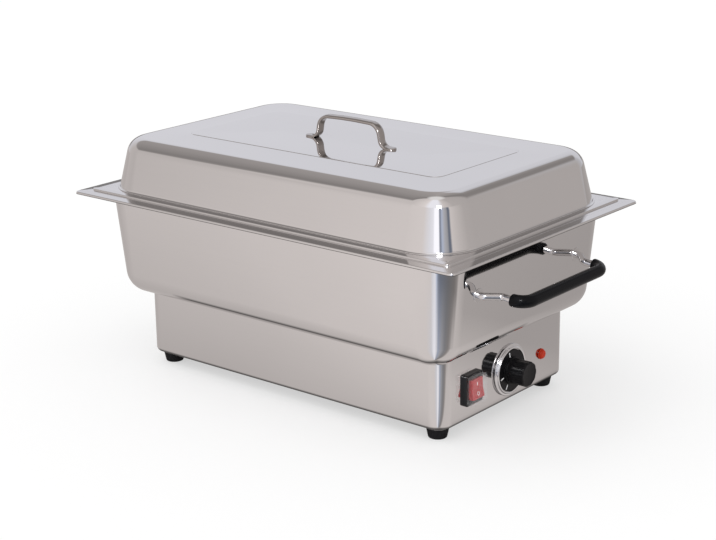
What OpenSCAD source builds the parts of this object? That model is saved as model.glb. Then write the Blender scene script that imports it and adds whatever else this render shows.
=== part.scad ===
// Electric chafing dish: a stainless water bath on a heated base, with a lift-out food pan and
// a lift-off lid. The long side lies along X, the control panel is at the +X end and the front
// is at -Y. Millimetres, Z up, origin on the table under the middle of the dish.

/* [Food pan] */
// Length of the food pan over its rim
pan_l = 530; // [480:1:580]
// Width of the food pan over its rim
pan_w = 325; // [300:1:360]
// Depth of the food pan
pan_depth = 100; // [60:1:130]
// Width of the food pan's rim
pan_rim = 12; // [9:0.5:14]
// Corner radius of the food pan's mouth
pan_r = 60; // [48:1:80]
// Slope of the food pan's walls in degrees
pan_draft = 4; // [2:0.5:6]
// Radius of the food pan's bottom edge
pan_bottom_r = 24; // [12:1:30]
// Thickness of the food pan's sheet
pan_sheet = 0.8; // [0.6:0.1:1.2]

/* [Water pan] */
// Distance from the food pan's rim to the water pan's wall at the ends
tub_room_x = 7.5; // [6:0.5:16]
// Distance from the food pan's rim to the water pan's wall at the sides
tub_room_y = 11.5; // [8:0.5:18]
// Depth of water under the food pan
water_gap = 37.7; // [20:0.1:60]
// Corner radius of the water pan at its rim
tub_r = 46; // [44:1:60]
// Slope of the water pan's walls in degrees
tub_draft = 5; // [2:0.5:6]
// Radius of the water pan's bottom edge
tub_bottom_r = 30; // [18:1:32]
// Thickness of the pressed steel sheet
sheet = 1; // [0.7:0.1:1.5]

/* [Top frame] */
// Width of the frame beyond the water pan's wall at the ends
frame_out_x = 27.5; // [24:0.5:36]
// Width of the frame beyond the water pan's wall at the sides
frame_out_y = 20; // [18:0.5:30]
// Height of the turned-down lip
lip_h = 5; // [3:0.5:10]
// Outward lean of the lip
lip_lean = 3.5; // [1:0.5:5]
// Width of the low border at the ends
border_x = 13.5; // [11:0.5:15]
// Width of the low border at the sides
border_y = 11; // [9:0.5:12]
// Height of the raised land above the border
land_h = 2.5; // [2:0.1:5]
// Corner radius of the land
land_r = 7; // [4:0.5:12]
// Room between the food pan's body and the frame's opening
opening_clear = 3; // [2:0.5:4]

/* [Lid] */
// Distance from the land's edge to the lid's rim at the ends
lid_in_x = 6; // [4:0.5:8]
// Distance from the land's edge to the lid's rim at the sides
lid_in_y = 7.5; // [5:0.5:9]
// Height of the lid
lid_h = 65.3; // [50:0.1:100]
// Corner radius of the lid at its foot
lid_r = 61; // [54:1:80]
// Slope of the lid's walls in degrees
lid_draft = 13; // [6:0.5:16]
// Radius of the lid's top edge
lid_top_r = 22; // [14:1:28]
// Width of the turned-out rim at the lid's foot
lid_rim = 2.5; // [1.5:0.1:4]
// Length of the sunk panel in the lid's top
panel_l = 396; // [300:1:420]
// Width of the sunk panel in the lid's top
panel_w = 172; // [120:1:190]
// Depth of the sunk panel
panel_drop = 2; // [1:0.1:4]
// Corner radius of the sunk panel
panel_r = 14; // [8:1:30]

/* [Lid handle] */
// Length of the handle over its feet
grip_l = 142; // [120:1:180]
// Length of each flat foot
grip_foot = 20; // [12:0.5:22]
// Outward lean of each leg
grip_lean = 4.5; // [2:0.5:18]
// Height of the handle above the panel
grip_h = 33; // [28:0.5:50]
// Width of the bar
grip_bar_w = 12; // [8:0.5:18]
// Thickness of the bar
grip_bar_t = 4.5; // [3:0.1:6]
// Radius of the bar's bends at its middle line
grip_bend = 13; // [6:0.5:14]

/* [Side handles] */
// Depth of the handles' bolts below the water pan's rim
bail_drop = 53.7; // [40:0.1:62]
// Distance between the two bolts of a handle
bail_span = 204; // [180:1:230]
// Distance between the two arms of a handle
bail_arm_span = 172; // [150:1:190]
// Reach of the handle's bar from the wall
bail_reach = 52; // [46:0.5:70]
// Diameter of the steel rod
bail_rod_d = 9; // [7:0.5:10]
// Diameter of the grip sleeve
bail_grip_d = 15; // [13:0.5:20]
// Diameter of the rod's threaded end
bail_thread_d = 6; // [4:0.5:6.5]
// Diameter of the washers
bail_washer_d = 17; // [14:0.5:20]

/* [Base] */
// Overhang of the water pan beyond the base at the ends
base_in_x = 33.5; // [32:0.5:44]
// Overhang of the water pan beyond the base at the sides
base_in_y = 43; // [40:0.5:52]
// Height of the base housing
base_h = 85; // [82:0.5:110]
// Corner radius of the base
base_r = 20; // [14:0.5:30]
// Radius of the base's bottom edge
base_edge_r = 5; // [3:0.5:7]
// Thickness of the base's sheet
base_sheet = 1.2; // [0.8:0.1:1.6]
// Width of the flange that the water pan is bolted to
base_flange = 18; // [16:0.5:22]
// Width of the lip under the base
base_lip = 16; // [14:0.5:17]

/* [Feet] */
// Height of a foot
foot_h = 14.3; // [10:0.1:25]
// Diameter of a foot at its top
foot_top_d = 28; // [22:0.5:30]
// Diameter of a foot where it stands
foot_tip_d = 23; // [16:0.5:28]
// Distance from a foot's screw to the edge of the base's lip
foot_clear = 4.8; // [4.4:0.1:8]

/* [Controls] */
// Height of the controls' line above the underside of the base
panel_z = 39.5; // [38:0.5:44]
// Sideways place of the switch
switch_y = -72.5; // [-84:0.5:-66]
// Width of the switch's frame
switch_w = 33; // [31:0.5:36]
// Height of the switch's frame
switch_h = 38.5; // [36:0.5:42]
// Thickness of the switch's frame
switch_t = 5; // [4:0.5:6]
// Room between the rocker and the splash cover
cover_room = 0.4; // [0.3:0.1:3]
// Throw of the rocker in degrees
rocker_throw = 16; // [10:1:18]
// Sideways place of the thermostat
dial_y = 4.5; // [-6:0.5:6]
// Diameter of the thermostat's bezel
bezel_d = 65.5; // [64:0.5:70]
// Diameter of the dial
dial_d = 52; // [46:0.5:55]
// Diameter of the knob
knob_d = 31; // [24:0.5:36]
// Length of the knob from the panel
knob_l = 30; // [24:0.5:40]
// Diameter of the thermostat's shaft
shaft_d = 6; // [5:0.5:7]
// Sideways place of the pilot lamp
lamp_y = 74; // [62:0.5:84]
// Diameter of the lamp's lens
lamp_d = 13.5; // [12:0.5:16]
// Height of the lamp's lens
lamp_h = 7; // [5:0.5:10]

/* [Heater] */
// Distance from the element's pins to the control panel
element_near = 57; // [50:1:100]
// Distance from the element's bends to the far end of the base
element_far = 89; // [60:1:140]
// Distance between neighbouring runs of the element
element_pitch = 40; // [36:0.5:44]
// Diameter of the heater tube and of the sensor bulb
tube_d = 8; // [6:0.5:10]
// Length of the sensor bulb
bulb_l = 100; // [60:1:140]

/* [Hidden] */
$fn = 64;
// Clearances: round a shaft that turns, round a fixed screw or stud, and between heater and pan
run_fit = 0.06;
bolt_fit = 0.15;
rest_gap = 0.3;
// How far a cutting shape runs past the face that it cuts
over = 1;

// Heights, from the table up
plate_t = 1.2;
z_base = foot_h + plate_t;
z_floor = z_base + base_h;
z_land = z_floor + sheet + water_gap + pan_depth;
z_border = z_land - land_h;
z_rim = z_border - sheet;
z_lid = z_land + lid_h;
z_panel = z_lid - panel_drop;
z_ctrl = z_base + panel_z;

// Plan sizes, from the food pan outwards
mouth_l = pan_l - 2 * pan_rim;
mouth_w = pan_w - 2 * pan_rim;
tub_l = pan_l + 2 * tub_room_x;
tub_w = pan_w + 2 * tub_room_y;
frame_l = tub_l + 2 * frame_out_x - 2 * lip_lean;
frame_w = tub_w + 2 * frame_out_y - 2 * lip_lean;
frame_r = 4;
land_l = frame_l - 2 * border_x;
land_w = frame_w - 2 * border_y;
lid_l = land_l - 2 * lid_in_x;
lid_w = land_w - 2 * lid_in_y;
base_l = tub_l - 2 * base_in_x;
base_w = tub_w - 2 * base_in_y;

// Corner radius of the food pan's rim, which follows the inside of the lid's foot
lid_wall = sheet / cos(lid_draft);
lid_room = min(lid_l - pan_l, lid_w - pan_w) / 2 - lid_rim - lid_wall;
pan_rim_r = lid_r - lid_rim - lid_wall - lid_room;

// The water pan's end wall where a handle is bolted on, and the handle's own plane
wall_x = tub_l / 2 - bail_drop * tan(tub_draft);
wall_z = z_rim - bail_drop;
washer_t = 1.5;
bail_inner_bend = 9.5;
bail_bend = bail_grip_d / 2 + bail_inner_bend;
bail_stub_l = 5;
bail_stub = washer_t + bail_stub_l;
bail_leg_start = bail_stub + (bail_span - bail_arm_span) / 2;
bail_bare = 5;
bail_sleeve_start = bail_leg_start + bail_bare;
bail_bar = [bail_reach, bail_arm_span / 2, 0];
bail_grip_at = [bail_sleeve_start, bail_arm_span / 2, 0];
thread_spare = 4;
bail_nut_wall = 2;
// Middle-line radius of the arms' kinks, and the fineness of the swept rod
kink_bend = 8;
rod_sides = 12;
rod_steps = 8;
strap_steps = 12;
// Play between the rod's shoulder and its washer
shoulder_gap = 0.05;

// The control panel's faces
panel_x = base_l / 2;
panel_in = panel_x - base_sheet;

// The switch
switch_lap = 3;
switch_lap_z = 3.5;
switch_r = 3;
switch_body_w = switch_w - 2 * switch_lap;
switch_body_h = switch_h - 2 * switch_lap_z;
switch_depth = 30;
switch_back = panel_x - switch_depth;
switch_wall = 2.2;
well_w = switch_body_w - 2 * switch_wall;
well_h = switch_body_h - 2 * switch_wall;
well_depth = 10;
tab = [9, 5, 0.8];
// Four tabs at the back of the switch, as [sideways, up] from its middle
switch_tabs = [for (v = [-1, 1]) for (h = [-1, 1]) [h * switch_body_w / 4, v * switch_body_h / 4]];

// The rocker, whose tips clear the well at both ends of its throw
rocker_gap = 0.4;
rocker_w = well_w - 2 * rocker_gap;
rocker_proud = 5;
rocker_rise = switch_t / 2 + rocker_proud;
rocker_edge = 1;
rocker_dip = 1.2;
rocker_keel = 5;
rocker_tip = (well_h / 2 - rocker_gap - (rocker_rise - rocker_edge) * sin(rocker_throw / 2)) / cos(rocker_throw / 2);
rocker_front = rocker_rise * cos(rocker_throw / 2) + (rocker_tip - rocker_edge) * sin(rocker_throw / 2);
rocker_pin_d = 4;
pin_reach = 1.6;
pin_gap = 0.2;

// The splash cover
cover_t = 1;
cover_in = 1.5;
cover_h = rocker_front - switch_t / 2 + cover_room + cover_t;

// The thermostat
bezel_rim = 3;
bezel_rim_t = 2;
bezel_h = 8;
bezel_gap = 0.8;
dial_t = 3;
dial_sink = 0.5;
knob_skirt = 1.5;
knob_skirt_h = 2.5;
knob_edge = 1.5;
knob_cap = 6;
flutes = 10;
flute_d = 8;
flute_depth = 1;
flute_start = 4;
thermo_size = [32, 38, 40];
thermo_back = panel_in - thermo_size[0];
thermo_bush_d = 10;
thermo_bush_out = 0.5;
thermo_screw_gap = 28;
// Tabs at the back of the thermostat, as [sideways, up] from its middle
thermo_tabs = [[-10, -6], [10, -6], [0, -14]];
// The thin tube's outlet beside the thermostat's middle and above it
outlet_off = [4, 12];
outlet_at = [thermo_back, dial_y + outlet_off[0], z_ctrl + outlet_off[1]];
capillary_d = 1.8;
capillary_bend = 3;
capillary_lead = 20;

// Screws, and nuts for them
screw_d = 4;
screw_head_d = 7.5;
screw_head_h = 2.4;
lip_head_d = 6.5;
lip_head_h = 1.3;
screw_grip = 6;
screw_nut_w = 7;
screw_nut_h = 3.2;
thermo_head_h = 1.6;

// The lamp
lamp_lap = 1.5;
lamp_body_d = lamp_d - 2 * lamp_lap;
lamp_depth = 25;
lamp_nut_t = 3;
lamp_nut_wall = 2;
lamp_nut_w = lamp_body_d + 2 * lamp_nut_wall;
lamp_collar = 1.5;
lamp_collar_w = 1;
lamp_round = 2.5;

// Studs and nuts under the water pan
stud_d = 5;
stud_spare = 3;
nut_w = 9;
nut_h = 4;
stud_off = 1;
stud_in = base_sheet + base_flange / 2 - stud_off;
stud_x = base_l / 2 - stud_in;
stud_y = base_w / 2 - stud_in;
stud_spread = [0.62, 0.55];
frame_studs = [for (sy = [-1, 1]) each [for (sx = [-1, 1]) each
  [[sx * stud_x, sy * stud_spread[1] * stud_y], [sx * stud_spread[0] * stud_x, sy * stud_y]], [0, sy * stud_y]]];

// The heating element: its far bends, the middle runs' near bend and its pins
pin_d = 4;
pin_l = 12;
pins_x = panel_x - element_near;
element_end = pins_x - pin_l;
far_x = element_far - panel_x;
element_short = 50;
near_x = element_end - element_short;
run_y = [element_pitch / 2, 1.5 * element_pitch];
element_bend = 0.4 * element_pitch;
z_tube = z_floor - rest_gap - tube_d / 2;
z_bar = z_tube - tube_d / 2 - rest_gap;

// Bars that clamp the element to the water pan
bar_t = 2;
bar_w = 15;
bar_end = 3;
clamp_far_in = 42;
clamp_near_in = 12;
clamp_far = far_x + clamp_far_in;
clamp_near = near_x - clamp_near_in;
clamp_x = [clamp_far, (clamp_far + clamp_near) / 2, clamp_near];
clamp_studs = [for (x = clamp_x) for (s = [-1, 1]) [x, s * element_pitch]];

// The overheat cut-out
cutout_d = 16;
cutout_h = 7;
cutout_room = 16;
cutout_at = [(clamp_x[1] + clamp_x[2]) / 2, run_y[1] + tube_d / 2 + cutout_room + cutout_d / 2];
ear_t = 1;
ear_d = 10;
ear_clear = 0.5;
ear_gap = cutout_d + nut_w / cos(30) + 2 * ear_clear;
cutout_studs = [for (s = [-1, 1]) cutout_at + s * [ear_gap / 2, 0]];

// Screws in the bottom plate, and the feet
plate_in = 6;
lip_screw_off = 3;
lip_screw_in = base_sheet + base_lip / 2 + lip_screw_off;
lip_screw_spread = [0.45, 0.35];
lip_at = [base_l / 2 - lip_screw_in, base_w / 2 - lip_screw_in];
lip_screws = [for (sx = [-1, 1]) for (sy = [-1, 1]) each
  [[sx * lip_at[0], sy * lip_screw_spread[1] * lip_at[1]], [sx * lip_screw_spread[0] * lip_at[0], sy * lip_at[1]]]];
flange_in_r = 3;
foot_in = base_sheet + base_lip + foot_clear;
foot_sink_d = 9;
foot_names = ["front_left_foot", "front_right_foot", "rear_left_foot", "rear_right_foot"];
foot_places = [for (sy = [-1, 1]) for (sx = [-1, 1])
  [sx * (base_l / 2 - foot_in), sy * (base_w / 2 - foot_in)]];

// Terminal block, cord gland and wires
block_size = [30, 44, 18];
block_in = 95.5;
block_x = block_in - panel_x;
block_pitch = 9;
block_hole_d = 4;
block_screw_d = 3;
block_screw_head = [5.5, 1.8];
block_screw_grip = 10;
block_screw_y = 16;
block_screws = [for (s = [-1, 1]) [block_x, s * block_screw_y]];
gland_y = 0;
gland_up = 26;
gland_z = z_base + gland_up;
gland_d = 20;
gland_l = 9;
gland_tip_d = 16;
gland_tip_l = 5;
gland_bore_d = 8;
gland_thread_d = 16;
gland_thread_l = 8;
gland_nut_t = 5;
wire_d = 2.4;
wire_bend = 4;
wire_lane = 9;
wire_start = 12;
wire_drop = 12;
lamp_leads = 3;

steel = [0.76, 0.74, 0.73];
bright_steel = [0.82, 0.82, 0.83];
black = [0.06, 0.06, 0.07];
brass = [0.78, 0.62, 0.32];
cream = [0.85, 0.82, 0.72];

// Rectangle with round corners, flat
module rounded_rect(l, w, r) {
  square([l - 2 * r, w], center = true);
  square([l, w - 2 * r], center = true);
  for (sx = [-1, 1], sy = [-1, 1]) translate([sx * (l / 2 - r), sy * (w / 2 - r)]) circle(r);
}

// Flat ring between two rounded rectangles, each given as [length, width, radius]
module flat_ring(outer, inner, t) {
  linear_extrude(t) difference() {
    rounded_rect(outer[0], outer[1], outer[2]);
    rounded_rect(inner[0], inner[1], inner[2]);
  }
}

// Carries a wall section round a rectangle with round corners. The section's x is the distance
// outward from the corner axes, which lie at [±half_x, ±half_y], and its y is the height.
module around(half_x, half_y) {
  for (q = [0 : 3]) {
    sx = q == 0 || q == 3 ? 1 : -1;
    sy = q < 2 ? 1 : -1;
    translate([sx * half_x, sy * half_y, 0]) rotate([0, 0, 90 * q]) rotate_extrude(angle = 90) children();
    along = q % 2 == 0 ? half_y : half_x;
    out = q % 2 == 0 ? half_x : half_y;
    rotate([0, 0, 90 * q]) translate([out, 0, 0]) rotate([90, 0, 0])
      linear_extrude(2 * along, center = true) children();
  }
}

// Part of a flat ring between two angles less than 180 degrees apart
module arc_band(r, t, from, to) {
  far = 2 * r;
  mid = (from + to) / 2;
  intersection() {
    difference() {
      circle(r);
      circle(r - t);
    }
    polygon([[0, 0], far * [cos(from), sin(from)], far * [cos(mid), sin(mid)], far * [cos(to), sin(to)]]);
  }
}

// Filled section of a pan with a leaning wall and a round bottom edge, from the corner axis out.
// r_top is the corner radius at the height top, and edge_r the bottom edge's radius.
module pan_fill(r_top, top, floor, draft, edge_r) {
  zc = floor + edge_r;
  uc = r_top - (top - zc) * tan(draft) - edge_r / cos(draft);
  polygon([[0, floor], [uc, floor], [uc, zc], [uc, zc] + edge_r * [cos(draft), -sin(draft)], [r_top, top],
    [0, top]]);
  intersection() {
    translate([uc, zc]) circle(edge_r);
    translate([0, floor]) square([uc + edge_r, 2 * edge_r]);
  }
}

// Section of an open pan's sheet, t thick
module pan_section(r_top, top, floor, t, draft, edge_r) {
  difference() {
    pan_fill(r_top, top, floor, draft, edge_r);
    pan_fill(r_top - t / cos(draft) + over * tan(draft), top + over, floor + t, draft, edge_r - t);
  }
}

// Open pan with its outside at the floor's underside, [length, width] at its top
module open_pan(size, r_top, top, floor, t, draft, edge_r) {
  half = [size[0] / 2 - r_top, size[1] / 2 - r_top];
  around(half[0], half[1]) pan_section(r_top, top, floor, t, draft, edge_r);
  translate([-half[0], -half[1], floor]) cube([2 * half[0], 2 * half[1], t]);
}

function unit(v) = v / norm(v);
function turn(a, b) = acos(max(-1, min(1, a * b)));
function side(v) = unit(abs(v[2]) < 0.9 ? cross(v, [0, 0, 1]) : cross(v, [1, 0, 0]));

// Moves the XYZ axes to three unit vectors and a point
module to_frame(x, y, z, p) {
  multmatrix([[x[0], y[0], z[0], p[0]], [x[1], y[1], z[1], p[1]], [x[2], y[2], z[2], p[2]]]) children();
}

// Round rod along straight runs that meet square, with a round bend at each corner
module bent_rod(pts, bend, d) {
  last = len(pts) - 1;
  dirs = [for (i = [0 : last - 1]) unit(pts[i + 1] - pts[i])];
  cut = [for (i = [0 : last]) i == 0 || i == last ? 0 : bend];
  for (i = [0 : last - 1]) {
    y = side(dirs[i]);
    run = norm(pts[i + 1] - pts[i]) - cut[i] - cut[i + 1];
    to_frame(cross(y, dirs[i]), y, dirs[i], pts[i] + cut[i] * dirs[i]) cylinder(d = d, h = run);
  }
  for (i = [1 : last - 1]) {
    start = pts[i] - bend * dirs[i - 1];
    to_frame(-dirs[i], dirs[i - 1], cross(dirs[i - 1], dirs[i]), start + bend * dirs[i])
      rotate_extrude(angle = 90) translate([bend, 0]) circle(d = d);
  }
}

// Cylinder that starts at a place on an upright face and runs along +X
module along_x(p, d, l) {
  translate(p) rotate([0, 90, 0]) cylinder(d = d, h = l);
}

// Hexagon nut with its bore, standing on z = 0
module nut(w, h, bore) {
  difference() {
    cylinder(d = w / cos(30), h = h, $fn = 6);
    translate([0, 0, -over]) cylinder(d = bore, h = h + 2 * over);
  }
}

// Pan-head screw: the shank points up from z = 0 and the head hangs below
module screw(d, l, head_d, head_h) {
  cylinder(d = d, h = l);
  translate([0, 0, -head_h]) cylinder(d = head_d, h = head_h);
}

module lid_shell() color(bright_steel) {
  r = lid_r - lid_rim;
  half = [lid_l / 2 - lid_r, lid_w / 2 - lid_r];
  around(half[0], half[1]) {
    translate([0, z_lid + z_land]) mirror([0, 1]) pan_section(r, z_lid, z_land, sheet, lid_draft, lid_top_r);
    translate([r - sheet, z_land]) square([lid_rim + sheet, sheet]);
  }
  hole = [panel_l, panel_w, panel_r];
  floor = [panel_l - 2 * sheet, panel_w - 2 * sheet, panel_r - sheet];
  difference() {
    translate([-half[0], -half[1], z_lid - sheet]) cube([2 * half[0], 2 * half[1], sheet]);
    translate([0, 0, z_lid - 2 * sheet]) linear_extrude(3 * sheet) rounded_rect(floor[0], floor[1], floor[2]);
  }
  translate([0, 0, z_panel - sheet]) flat_ring(hole, floor, panel_drop);
  translate([0, 0, z_panel - sheet]) linear_extrude(sheet) rounded_rect(floor[0], floor[1], floor[2]);
}

// Points along a middle line through corners in a plane, with each corner made an arc of its own radius
// and so many steps to a right angle
function arc_line(pts, radii, steps) = [pts[0], for (i = [1 : len(pts) - 2])
  let (a = unit(pts[i] - pts[i - 1]), b = unit(pts[i + 1] - pts[i]), bend = turn(a, b), r = radii[i - 1])
  let (n = sign(a[0] * b[1] - a[1] * b[0]) * [-a[1], a[0]], start = pts[i] - r * tan(bend / 2) * a)
  let (last = ceil(steps * bend / 90 - 0.01))
  for (k = [0 : last]) let (t = bend * k / last) start + r * sin(t) * a + r * (1 - cos(t)) * n,
  pts[len(pts) - 1]];

// The line's direction at a point
function run_at(line, i) = unit(line[min(len(line) - 1, i + 1)] - line[max(0, i - 1)]);

// The line moved sideways by a distance, square to its run at each point
function moved_line(line, by) = [for (i = [0 : len(line) - 1])
  let (t = run_at(line, i)) line[i] + by * [-t[1], t[0]]];

module lid_handle() color(bright_steel) {
  low = z_panel + grip_bar_t / 2;
  high = z_panel + grip_h - grip_bar_t / 2;
  tip = grip_l / 2;
  knee = tip - grip_foot;
  half = [[tip, low], [knee, low], [knee - grip_lean, high]];
  pts = [for (p = half) [-p[0], p[1]], for (i = [2 : -1 : 0]) half[i]];
  line = arc_line(pts, [for (p = pts) grip_bend], strap_steps);
  back = moved_line(line, -grip_bar_t / 2);
  rotate([90, 0, 0]) linear_extrude(grip_bar_w, center = true)
    polygon([each moved_line(line, grip_bar_t / 2), for (i = [len(back) - 1 : -1 : 0]) back[i]]);
}

module food_pan() color(steel) {
  open_pan([mouth_l, mouth_w], pan_r, z_land + pan_sheet, z_land - pan_depth, pan_sheet, pan_draft,
    pan_bottom_r);
  inset = pan_sheet / 2;
  mouth = [mouth_l - 2 * inset, mouth_w - 2 * inset, pan_r - inset];
  translate([0, 0, z_land]) flat_ring([pan_l, pan_w, pan_rim_r], mouth, pan_sheet);
}

module top_frame() color(bright_steel) {
  opening = [mouth_l + 2 * opening_clear, mouth_w + 2 * opening_clear, pan_r + opening_clear];
  land = [land_l, land_w, land_r];
  land_in = [land_l - 2 * sheet, land_w - 2 * sheet, land_r - sheet];
  translate([0, 0, z_land - sheet]) flat_ring(land, opening, sheet);
  translate([0, 0, z_rim]) flat_ring(land, land_in, z_land - z_rim);
  translate([0, 0, z_rim]) flat_ring([frame_l, frame_w, frame_r], land_in, sheet);
  around(frame_l / 2 - frame_r, frame_w / 2 - frame_r)
    polygon([[frame_r - sheet, z_border], [frame_r, z_border], [frame_r + lip_lean, z_border - lip_h],
      [frame_r + lip_lean - sheet, z_border - lip_h], [frame_r - sheet, z_rim]]);
}

// A handle's point on its other side
function across(p) = [p[0], -p[1], p[2]];

// Places a handle's own plane on the end wall: x out along the wall's normal, y sideways
module at_wall(sx) {
  rotate([0, 0, sx > 0 ? 0 : 180]) translate([wall_x, 0, wall_z]) rotate([0, tub_draft, 0]) children();
}

module water_pan() color(steel) {
  difference() {
    union() {
      open_pan([tub_l, tub_w], tub_r, z_rim, z_floor, sheet, tub_draft, tub_bottom_r);
      inset = sheet / 2;
      translate([0, 0, z_rim - sheet])
        flat_ring([land_l + border_x, land_w + border_y, land_r], [tub_l - 2 * inset, tub_w - 2 * inset,
          tub_r - inset], sheet);
    }
    for (sx = [-1, 1], sy = [-1, 1]) at_wall(sx) translate([-3 * sheet, sy * bail_span / 2, 0])
      rotate([0, 90, 0]) cylinder(d = bail_thread_d + 2 * bolt_fit, h = 6 * sheet);
  }
}

module base_housing() color(steel) {
  half = [base_l / 2 - base_r, base_w / 2 - base_r];
  through = base_sheet + 2 * over;
  difference() {
    union() {
      around(half[0], half[1]) {
        translate([base_r - base_edge_r, z_base + base_edge_r]) arc_band(base_edge_r, base_sheet, -90, 0);
        translate([base_r - base_sheet, z_base + base_edge_r]) square([base_sheet, base_h - base_edge_r]);
      }
      outer = [base_l - 2 * base_edge_r, base_w - 2 * base_edge_r, base_r - base_edge_r];
      lip_in = 2 * (base_sheet + base_lip);
      translate([0, 0, z_base]) flat_ring(outer, [base_l - lip_in, base_w - lip_in, flange_in_r], base_sheet);
      flange_in = 2 * (base_sheet + base_flange);
      translate([0, 0, z_floor - base_sheet])
        flat_ring([base_l - base_sheet, base_w - base_sheet, base_r - base_sheet / 2],
          [base_l - flange_in, base_w - flange_in, flange_in_r], base_sheet);
    }
    for (p = frame_studs) translate([p[0], p[1], z_floor - base_sheet - over])
      cylinder(d = stud_d + 2 * bolt_fit, h = through);
    for (p = lip_screws) translate([p[0], p[1], z_base - over])
      cylinder(d = screw_d + 2 * bolt_fit, h = through);
    translate([panel_in - over, switch_y - switch_body_w / 2 - bolt_fit, z_ctrl - switch_body_h / 2 - bolt_fit])
      cube([through, switch_body_w + 2 * bolt_fit, switch_body_h + 2 * bolt_fit]);
    along_x([panel_in - over, dial_y, z_ctrl], thermo_bush_d + 2 * bolt_fit, through);
    for (s = [-1, 1]) along_x([panel_in - over, dial_y, z_ctrl + s * thermo_screw_gap / 2],
      screw_d + 2 * bolt_fit, through);
    along_x([panel_in - over, lamp_y, z_ctrl], lamp_body_d + 2 * bolt_fit, through);
    along_x([-panel_x - over, gland_y, gland_z], gland_thread_d + 2 * bolt_fit, through);
  }
}

module bottom_plate() color(steel) translate([0, 0, z_base - plate_t]) difference() {
  through = plate_t + 2 * over;
  linear_extrude(plate_t) rounded_rect(base_l - 2 * plate_in, base_w - 2 * plate_in, base_r - plate_in);
  for (p = concat(lip_screws, foot_places)) translate([p[0], p[1], -over])
    cylinder(d = screw_d + 2 * bolt_fit, h = through);
  for (p = block_screws) translate([p[0], p[1], -over]) cylinder(d = block_screw_d + 2 * bolt_fit, h = through);
}

module bottom_plate_screws() color(bright_steel) for (p = lip_screws) translate([p[0], p[1], z_base - plate_t])
  screw(screw_d, plate_t + base_sheet + screw_grip, lip_head_d, lip_head_h);

module foot(i) color(black) translate([foot_places[i][0], foot_places[i][1], 0]) difference() {
  cylinder(d1 = foot_tip_d, d2 = foot_top_d, h = foot_h);
  translate([0, 0, -over]) cylinder(d = foot_sink_d, h = foot_h / 2 + over);
  cylinder(d = screw_d + 2 * bolt_fit, h = foot_h + over);
}

module foot_screws() color(bright_steel) for (p = foot_places) translate([p[0], p[1], foot_h / 2])
  screw(screw_d, foot_h / 2 + plate_t + screw_grip, screw_head_d, screw_head_h);

module foot_nuts() color(bright_steel) for (p = foot_places) translate([p[0], p[1], z_base])
  nut(screw_nut_w, screw_nut_h, screw_d + 2 * run_fit);

// Round rod along a line in the XY plane, with a ring of points square to its run at each point
module swept_rod(line, d, sides) {
  last = len(line) - 1;
  rings = [for (i = [0 : last], k = [0 : sides - 1])
    let (t = run_at(line, i), across = cos(360 * k / sides) * d / 2)
    [line[i][0] - t[1] * across, line[i][1] + t[0] * across, sin(360 * k / sides) * d / 2]];
  walls = [for (i = [0 : last - 1], k = [0 : sides - 1])
    let (a = i * sides + k, b = i * sides + (k + 1) % sides)
    each [[a, a + sides, b], [b, a + sides, b + sides]]];
  start = [for (k = [0 : sides - 1]) k];
  end = [for (k = [sides - 1 : -1 : 0]) last * sides + k];
  polyhedron(rings, [start, each walls, end]);
}

// One side handle's rod in the handle's own plane: threaded ends, kinked arms and the bar
module handle_rod(sx) color(bright_steel) at_wall(sx) {
  half = [[washer_t + shoulder_gap, bail_span / 2], [bail_stub, bail_span / 2],
    [bail_leg_start, bail_arm_span / 2], [bail_reach, bail_arm_span / 2]];
  pts = [each half, for (i = [len(half) - 1 : -1 : 0]) [half[i][0], -half[i][1]]];
  bends = [kink_bend, kink_bend, bail_bend, bail_bend, kink_bend, kink_bend];
  swept_rod(arc_line(pts, bends, rod_steps), bail_rod_d, rod_sides);
  inside = sheet + nut_h + thread_spare;
  for (s = [-1, 1]) along_x([-inside, s * bail_span / 2, 0], bail_thread_d, inside + washer_t + over);
}

module handle_grip(sx) color(black) at_wall(sx) difference() {
  before = [over, 0, 0];
  bent_rod([bail_grip_at, bail_bar, across(bail_bar), across(bail_grip_at)], bail_bend, bail_grip_d);
  bent_rod([bail_grip_at - before, bail_bar, across(bail_bar), across(bail_grip_at) - before], bail_bend,
    bail_rod_d + 2 * bolt_fit);
}

module handle_washers() color(bright_steel) for (sx = [-1, 1], s = [-1, 1]) at_wall(sx)
  translate([0, s * bail_span / 2, 0]) rotate([0, 90, 0]) difference() {
    cylinder(d = bail_washer_d, h = washer_t);
    translate([0, 0, -over]) cylinder(d = bail_thread_d + 2 * run_fit, h = washer_t + 2 * over);
  }

module handle_nuts() color(bright_steel) for (sx = [-1, 1], s = [-1, 1]) at_wall(sx)
  translate([-sheet - nut_h, s * bail_span / 2, 0]) rotate([0, 90, 0])
    nut(bail_thread_d + 2 * bail_nut_wall, nut_h, bail_thread_d + 2 * run_fit);

module pan_studs() color(bright_steel) {
  seats = [for (p = frame_studs) [p[0], p[1], base_sheet], for (p = cutout_studs) [p[0], p[1], ear_t],
    for (p = clamp_studs) [p[0], p[1], z_floor - z_bar + bar_t]];
  for (p = seats) {
    long = p[2] + nut_h + stud_spare;
    translate([p[0], p[1], z_floor - long]) cylinder(d = stud_d, h = long);
  }
}

module pan_nuts() color(bright_steel) {
  seats = [for (p = frame_studs) [p[0], p[1], z_floor - base_sheet],
    for (p = clamp_studs) [p[0], p[1], z_bar - bar_t],
    for (p = cutout_studs) [p[0], p[1], z_floor - ear_t]];
  for (p = seats) translate(p - [0, 0, nut_h]) nut(nut_w, nut_h, stud_d + 2 * run_fit);
}

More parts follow.
